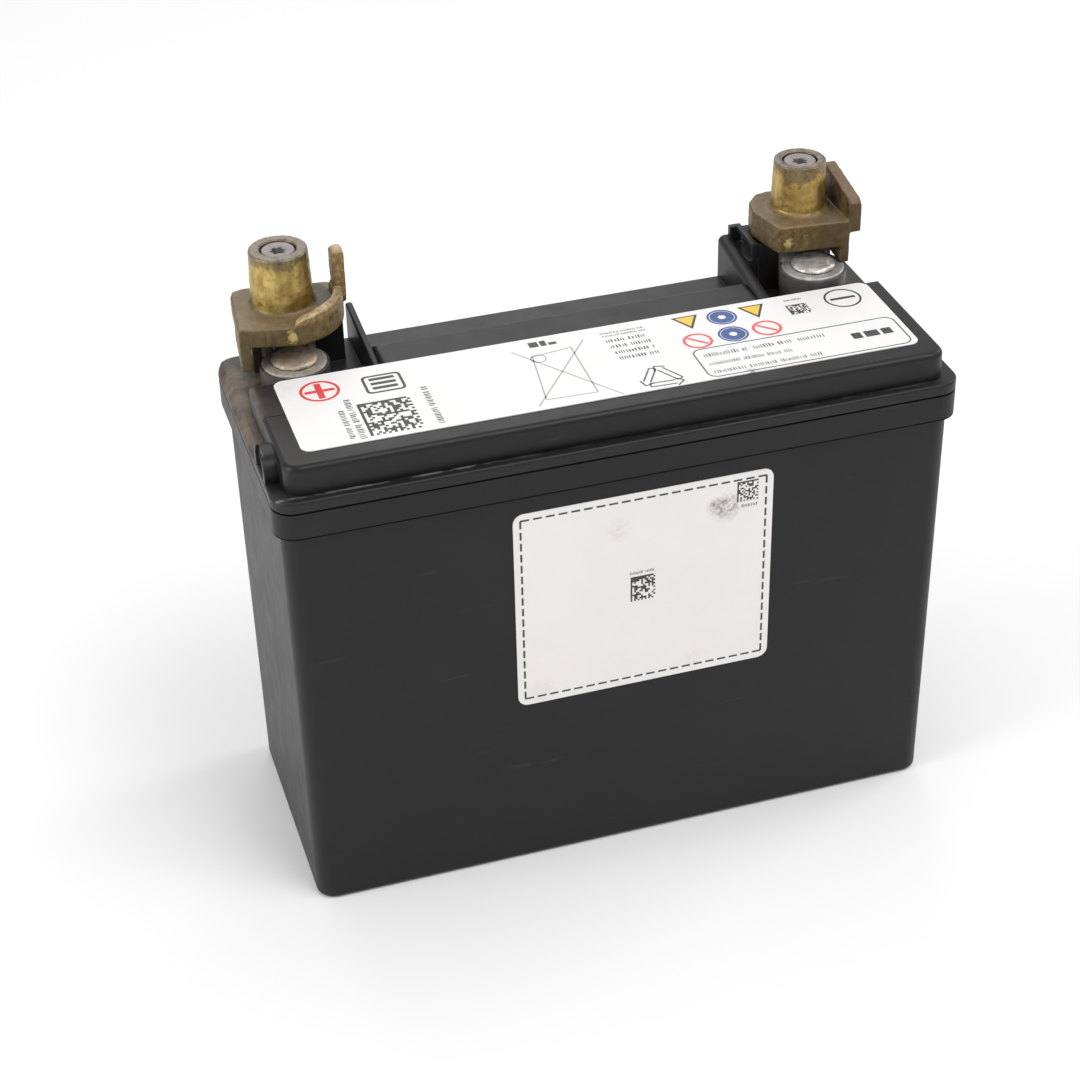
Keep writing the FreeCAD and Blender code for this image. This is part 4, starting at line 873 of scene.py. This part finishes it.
class Print:
    """Thin closed ink shapes on a label, drawn in two coordinates in mm."""

    def __init__(self, plane, out, slot):
        self.plane, self.out, self.slot = plane, out, slot
        self.verts, self.faces = [], []

    def add_points(self, points, height):
        self.verts += [self.plane(*point) + self.out * height for point in points]

    def prism(self, points, lift=0.0):
        first, count = len(self.verts), len(points)
        for height in (lift, lift + INK_RISE):
            self.add_points(points, height)
        upper = first + count
        self.faces.append(tuple(range(upper - 1, first - 1, -1)))
        self.faces.append(tuple(range(upper, upper + count)))
        for i in range(count):
            j = (i + 1) % count
            self.faces.append((first + i, first + j, upper + j, upper + i))

    def loop(self, outer, inner):
        """The strip between two outlines with the same number of points."""
        count = len(outer)
        low_out = len(self.verts)
        low_in, top_out, top_in = (low_out + count * k for k in (1, 2, 3))
        for height in (0.0, INK_RISE):
            self.add_points(outer, height)
            self.add_points(inner, height)
        for i in range(count):
            j = (i + 1) % count
            self.faces += [
                (low_out + i, low_in + i, low_in + j, low_out + j),
                (top_out + i, top_out + j, top_in + j, top_in + i),
                (low_out + i, low_out + j, top_out + j, top_out + i),
                (low_in + j, low_in + i, top_in + i, top_in + j)]

    def rect(self, x0, y0, x1, y1):
        self.prism([(x0, y0), (x1, y0), (x1, y1), (x0, y1)])

    def line(self, start, end, width):
        along_x, along_y = end[0] - start[0], end[1] - start[1]
        length = math.hypot(along_x, along_y)
        side_x, side_y = -along_y / length * width / 2, along_x / length * width / 2
        self.prism([(start[0] + side_x, start[1] + side_y), (start[0] - side_x, start[1] - side_y),
                    (end[0] - side_x, end[1] - side_y), (end[0] + side_x, end[1] + side_y)])

    def ring(self, centre, outer, inner):
        self.loop(circle(centre, outer), circle(centre, inner))

    def code(self, x0, y0, x1, y1, columns, rows, seed):
        """Random square modules with two solid and two alternating sides."""
        draw = random.Random(seed)
        step_x, step_y = (x1 - x0) / columns, (y1 - y0) / rows
        half_gap = 0.015
        for j in range(rows):
            row = []
            for i in range(columns):
                filled = draw.random() < 0.52
                if i == 0 or j == rows - 1:
                    filled = True
                if i == columns - 1:
                    filled = j % 2 == 0
                if j == 0:
                    filled = i % 2 == 0
                row.append(filled)
            i = 0
            while i < columns:
                end = i
                while end < columns and row[end]:
                    end += 1
                if end > i:
                    self.rect(x0 + i * step_x + half_gap, y0 + j * step_y + half_gap,
                              x0 + end * step_x - half_gap, y0 + (j + 1) * step_y - half_gap)
                i = max(end, i + 1)

    def words(self, start, end, base, height, seed, upright=False, stroke=0.23):
        """A row of plain ticks standing in for a printed line; upright rows run along y."""
        draw = random.Random(seed)
        at = start
        while at < end - height * 0.3:
            for _ in range(draw.randint(6, 13)):
                width = stroke * height * draw.choice((0.8, 0.8, 1.3))
                if at + width > end:
                    break
                tip = base + height * draw.choice((1.0, 1.0, 0.78))
                if upright:
                    self.rect(base, at, tip, at + width)
                else:
                    self.rect(at, base, at + width, tip)
                at += width + height * draw.choice((0.24, 0.24, 0.36))
            at += height * 0.50

    def make(self, name, material):
        made = mesh_object(name, self.verts, self.faces, material)
        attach(made, "battery")


# the front label leans with the moulding draft: its outer face runs through these two edges
front_points = [vert.co for vert in nodes["front_label"].data.vertices]
low_edge_y = min(point.y for point in front_points if point.z < FRONT_LOW.z + 0.002)
high_edge_y = min(point.y for point in front_points if point.z > FRONT_HIGH.z - 0.002)
lean = (high_edge_y - low_edge_y) / (FRONT_HIGH.z - FRONT_LOW.z)


def on_top(x, y):
    return Vector((x * MM, y * MM, TOP_LABEL_Z))


def on_front(x, z):
    return Vector((x * MM, low_edge_y + lean * (z * MM - FRONT_LOW.z), z * MM))


TOP = (on_top, Vector((0, 0, 1)), "top_label")
FRONT = (on_front, Vector((0, -1, lean)).normalized(), "front_label")


def polarity_marks():
    art = Print(*TOP)
    art.ring((-79.6, -1.9), 5.85, 4.95)
    art.rect(-84.0, -2.6, -80.65, -1.2)
    art.rect(-78.65, -2.6, -75.2, -1.2)
    art.rect(-80.6, -6.2, -78.7, 2.5)
    art.make("print_positive_mark", ink_red)
    art = Print(*TOP)
    art.ring((82.5, 0.0), 5.75, 5.1)
    art.rect(78.5, -0.6, 86.5, 0.6)
    art.make("print_negative_mark", ink_black)


def top_codes():
    """Code patches, the small strokes beside them and a framed block of bars."""
    art = Print(*TOP)
    art.code(-71.6, -31.0, -56.2, -12.9, columns=18, rows=20, seed=5)
    art.code(64.2, -5.0, 70.8, 1.0, columns=12, rows=12, seed=9)
    art.make("print_top_codes", ink_black)
    art = Print(*TOP)
    art.words(-30.5, -14.5, -77.4, height=1.7, seed=21, upright=True)
    art.words(-31.5, -9.0, -74.6, height=1.9, seed=22, upright=True)
    art.words(-30.5, -8.5, -52.0, height=1.8, seed=23, upright=True)
    art.words(65.0, 71.2, 3.6, height=0.9, seed=24)
    art.make("print_top_columns", ink_grey)
    art = Print(*TOP)
    art.loop(rounded_outline(-67.0, -8.4, -55.4, 1.8, radius=1.6),
             rounded_outline(-66.2, -7.6, -56.2, 1.0, radius=1.0))
    for k in range(3):
        art.rect(-64.9, -6.3 + 2.55 * k, -57.5, -4.9 + 2.55 * k)
    art.make("print_top_block", ink_black)


def line_figure():
    """Thin line figure in the middle, with three small blocks behind it."""
    art = Print(*TOP)
    for start, end in (
            ((-21.5, 1.2), (1.6, -32.4)), ((0.6, 1.6), (-23.0, -31.0)),
            ((-16.6, -3.6), (-20.0, -28.0)), ((-4.2, -1.6), (-4.9, -28.6)),
            ((-20.0, -28.2), (-4.9, -28.8)), ((-17.0, -3.4), (-4.0, -1.4))):
        art.line(start, end, width=0.42)
    art.ring((-15.2, -4.8), 2.4, 2.0)
    art.make("print_line_figure", ink_pale)
    art = Print(*TOP)
    art.rect(-15.6, 2.0, -12.8, 5.0)
    art.rect(-12.2, 2.0, -10.4, 5.0)
    art.rect(-9.8, 2.0, -7.4, 3.4)
    art.make("print_line_figure_cap", ink_black)


def text_block():
    art = Print(*TOP)
    rows = ((2.6, 0.9), (0.9, 0.9), (-2.6, 1.7), (-6.2, 1.7), (-9.8, 1.7), (-13.4, 1.7))
    for k, (base, height) in enumerate(rows):
        art.words(6.2 + 0.2 * k, 19.8, base, height, seed=40 + k)
    art.make("print_text_block", ink_grey)


def triangle_of_bars():
    """Three outlined bars with splayed tips along the sides of a triangle."""
    art = Print(*TOP)
    corners = ((9.0, -30.2), (20.4, -30.6), (14.8, -20.2))
    for corner, following in zip(corners, corners[1:] + corners[:1]):
        side = (following[0] - corner[0], following[1] - corner[1])
        length = math.hypot(*side)

        def at(share, across, beyond=0.0):
            """Point a share along the side, moved across it and beyond, in mm."""
            return (corner[0] + side[0] * share - side[1] / length * across
                    + side[0] / length * beyond,
                    corner[1] + side[1] * share + side[0] / length * across
                    + side[1] / length * beyond)

        tail, head = 0.12, 0.80
        for across in (0.9, -1.1):
            art.line(at(tail, across), at(head, across), width=0.5)
        art.line(at(tail, 0.72), at(tail, -0.92), width=0.5)
        art.line(at(head, 2.0), at(head, 0.0, 2.4), width=0.5)
        art.line(at(head, -2.2), at(head, 0.0, 2.2), width=0.5)
    art.make("print_triangle_of_bars", ink_grey)


def coloured_signs():
    """Plain signs without pictures: two triangles, two blue discs, two crossed rings."""
    borders, fields = Print(*TOP), Print(*TOP)
    for x, y in ((28.9, 5.0), (50.0, 4.8)):
        borders.prism([(x + 0.2, y), (x + 8.6, y), (x + 4.4, y - 8.0)])
        fields.prism([(x + 1.35, y - 0.62), (x + 7.45, y - 0.62), (x + 4.4, y - 6.45)],
                     lift=INK_RISE)
    borders.make("print_sign_borders", ink_black)
    fields.make("print_sign_fields", ink_yellow)
    art = Print(*TOP)
    for centre in ((43.9, 0.9), (43.4, -9.9)):
        art.ring(centre, 4.6, 3.9)
        art.ring(centre, 3.65, 1.2)
    art.make("print_blue_signs", ink_blue)
    art = Print(*TOP)
    for x, y in ((32.1, -10.4), (54.1, -9.8)):
        art.ring((x, y), 4.5, 3.6)
        art.line((x - 2.45, y + 2.45), (x + 2.45, y - 2.45), width=0.95)
    art.make("print_red_signs", ink_rose)


def rating_frame():
    art = Print(*TOP)
    art.loop(rounded_outline(27.8, -32.2, 91.4, -15.2, radius=3.0),
             rounded_outline(28.25, -31.75, 90.95, -15.65, radius=2.55))
    # start, end, base, height, seed, stroke
    for *row, stroke in (
            (30.6, 44.0, -20.4, 1.9, 61, 0.20), (46.0, 58.0, -20.4, 1.9, 62, 0.20),
            (60.0, 69.0, -20.4, 1.9, 63, 0.20), (30.4, 56.0, -25.4, 1.7, 64, 0.18),
            (30.2, 64.0, -30.2, 1.7, 65, 0.18)):
        art.words(*row, stroke=stroke)
    art.make("print_rating_frame", ink_grey)
    art = Print(*TOP)
    for x, width in ((75.6, 3.0), (79.6, 4.4), (85.0, 3.2)):
        art.rect(x, -24.8, x + width, -21.4)
    art.make("print_plain_bars", ink_black)


def front_prints():
    """Dashed border, two small codes and the strokes beside them."""
    left, right, low, high = -32.8, 42.2, 61.9, 125.3
    dash, gap = 2.75, 1.15
    art = Print(*FRONT)
    corners = ((left, low), (right, low), (right, high), (left, high))
    for start, end in zip(corners, corners[1:] + corners[:1]):
        side = (end[0] - start[0], end[1] - start[1])
        length = math.hypot(*side)
        count = round((length + gap) / (dash + gap))
        step = (length + gap) / count
        for k in range(count):
            near, far = k * step, k * step + step - gap
            art.line((start[0] + side[0] * near / length, start[1] + side[1] * near / length),
                     (start[0] + side[0] * far / length, start[1] + side[1] * far / length),
                     width=0.6)
    art.make("print_front_border", ink_black)
    art = Print(*FRONT)
    art.code(0.3, 89.7, 8.0, 98.4, columns=14, rows=14, seed=31)
    art.code(33.1, 117.7, 39.7, 124.6, columns=13, rows=13, seed=37)
    art.make("print_front_codes", ink_black)
    art = Print(*FRONT)
    art.words(0.2, 8.0, 99.3, height=0.95, seed=33)
    art.words(34.6, 39.8, 115.6, height=1.0, seed=34)
    art.make("print_front_strokes", ink_grey)


polarity_marks()
top_codes()
line_figure()
text_block()
triangle_of_bars()
coloured_signs()
rating_frame()
front_prints()


# ---------------------------------------------------------------- stage, light, camera
def pale_floor():
    mat = Shader("pale_floor")
    cloud = mat.noise(scale=3.0, detail=2, rough=0.5)
    return mat.surface(Base_Color=mat.mix(cloud, (0.90, 0.90, 0.90), (0.93, 0.93, 0.93)),
                       Roughness=0.9, Specular_IOR_Level=0.1)


HALF_FLOOR, FLOOR_Z = 6, -0.00015
floor_corners = [(x * HALF_FLOOR, y * HALF_FLOOR, FLOOR_Z)
                 for x, y in ((-1, -1), (1, -1), (1, 1), (-1, 1))]
mesh_object("floor", floor_corners, [(0, 1, 2, 3)], pale_floor())

world = bpy.data.worlds.new("soft_white")
bpy.context.scene.world = world
world.use_nodes = True
background = world.node_tree.nodes["Background"]
background.inputs["Color"].default_value = (1, 1, 1, 1)
background.inputs["Strength"].default_value = 0.575


def area(name, place, target, size, power, size_y=None):
    light = bpy.data.lights.new(name, "AREA")
    light.energy = power
    light.size = size
    if size_y:
        light.shape = "RECTANGLE"
        light.size_y = size_y
    lamp = link_object(name, light)
    lamp.location = place
    lamp.rotation_mode = "QUATERNION"
    aim = Vector(target) - Vector(place)
    lamp.rotation_quaternion = aim.to_track_quat("-Z", "Y")


area("key", (0.35, -0.55, 1.15), (0, 0, 0.08), size=0.7, power=6.2)
area("left", (-1.0, -0.15, 0.55), (0, 0, 0.09), size=0.55, power=5.4, size_y=0.8)
area("right", (1.0, 0.2, 0.75), (0, 0, 0.12), size=0.4, power=2.8, size_y=0.7)
area("back", (0.1, 1.0, 0.9), (0, 0, 0.1), size=0.8, power=3.0)

# the camera's place and its axes in the scene
CAMERA_PLACE = (-0.184846, -0.576566, 0.489479)
CAMERA_RIGHT = Vector((0.9544963566691405, -0.2973546191726691, -0.02273621696795096))
CAMERA_DOWN = Vector((-0.18306891840642925, -0.5240443649413586, -0.8317831897115426))
CAMERA_FORWARD = Vector((0.23541978722876494, 0.7980963187672807, -0.5546348255846165))
camera = link_object("camera", bpy.data.cameras.new("camera"))
bpy.context.scene.camera = camera
camera.data.sensor_width = 36.0
camera.data.lens = 78.2128
camera.data.clip_start = 0.01
camera.data.clip_end = 50
turn = Matrix((CAMERA_RIGHT, -CAMERA_DOWN, -CAMERA_FORWARD)).transposed().to_4x4()
camera.matrix_world = Matrix.Translation(CAMERA_PLACE) @ turn

view = bpy.context.scene.view_settings
view.view_transform = "Standard"
view.look = "None"
view.exposure = 0.0
view.gamma = 1.0
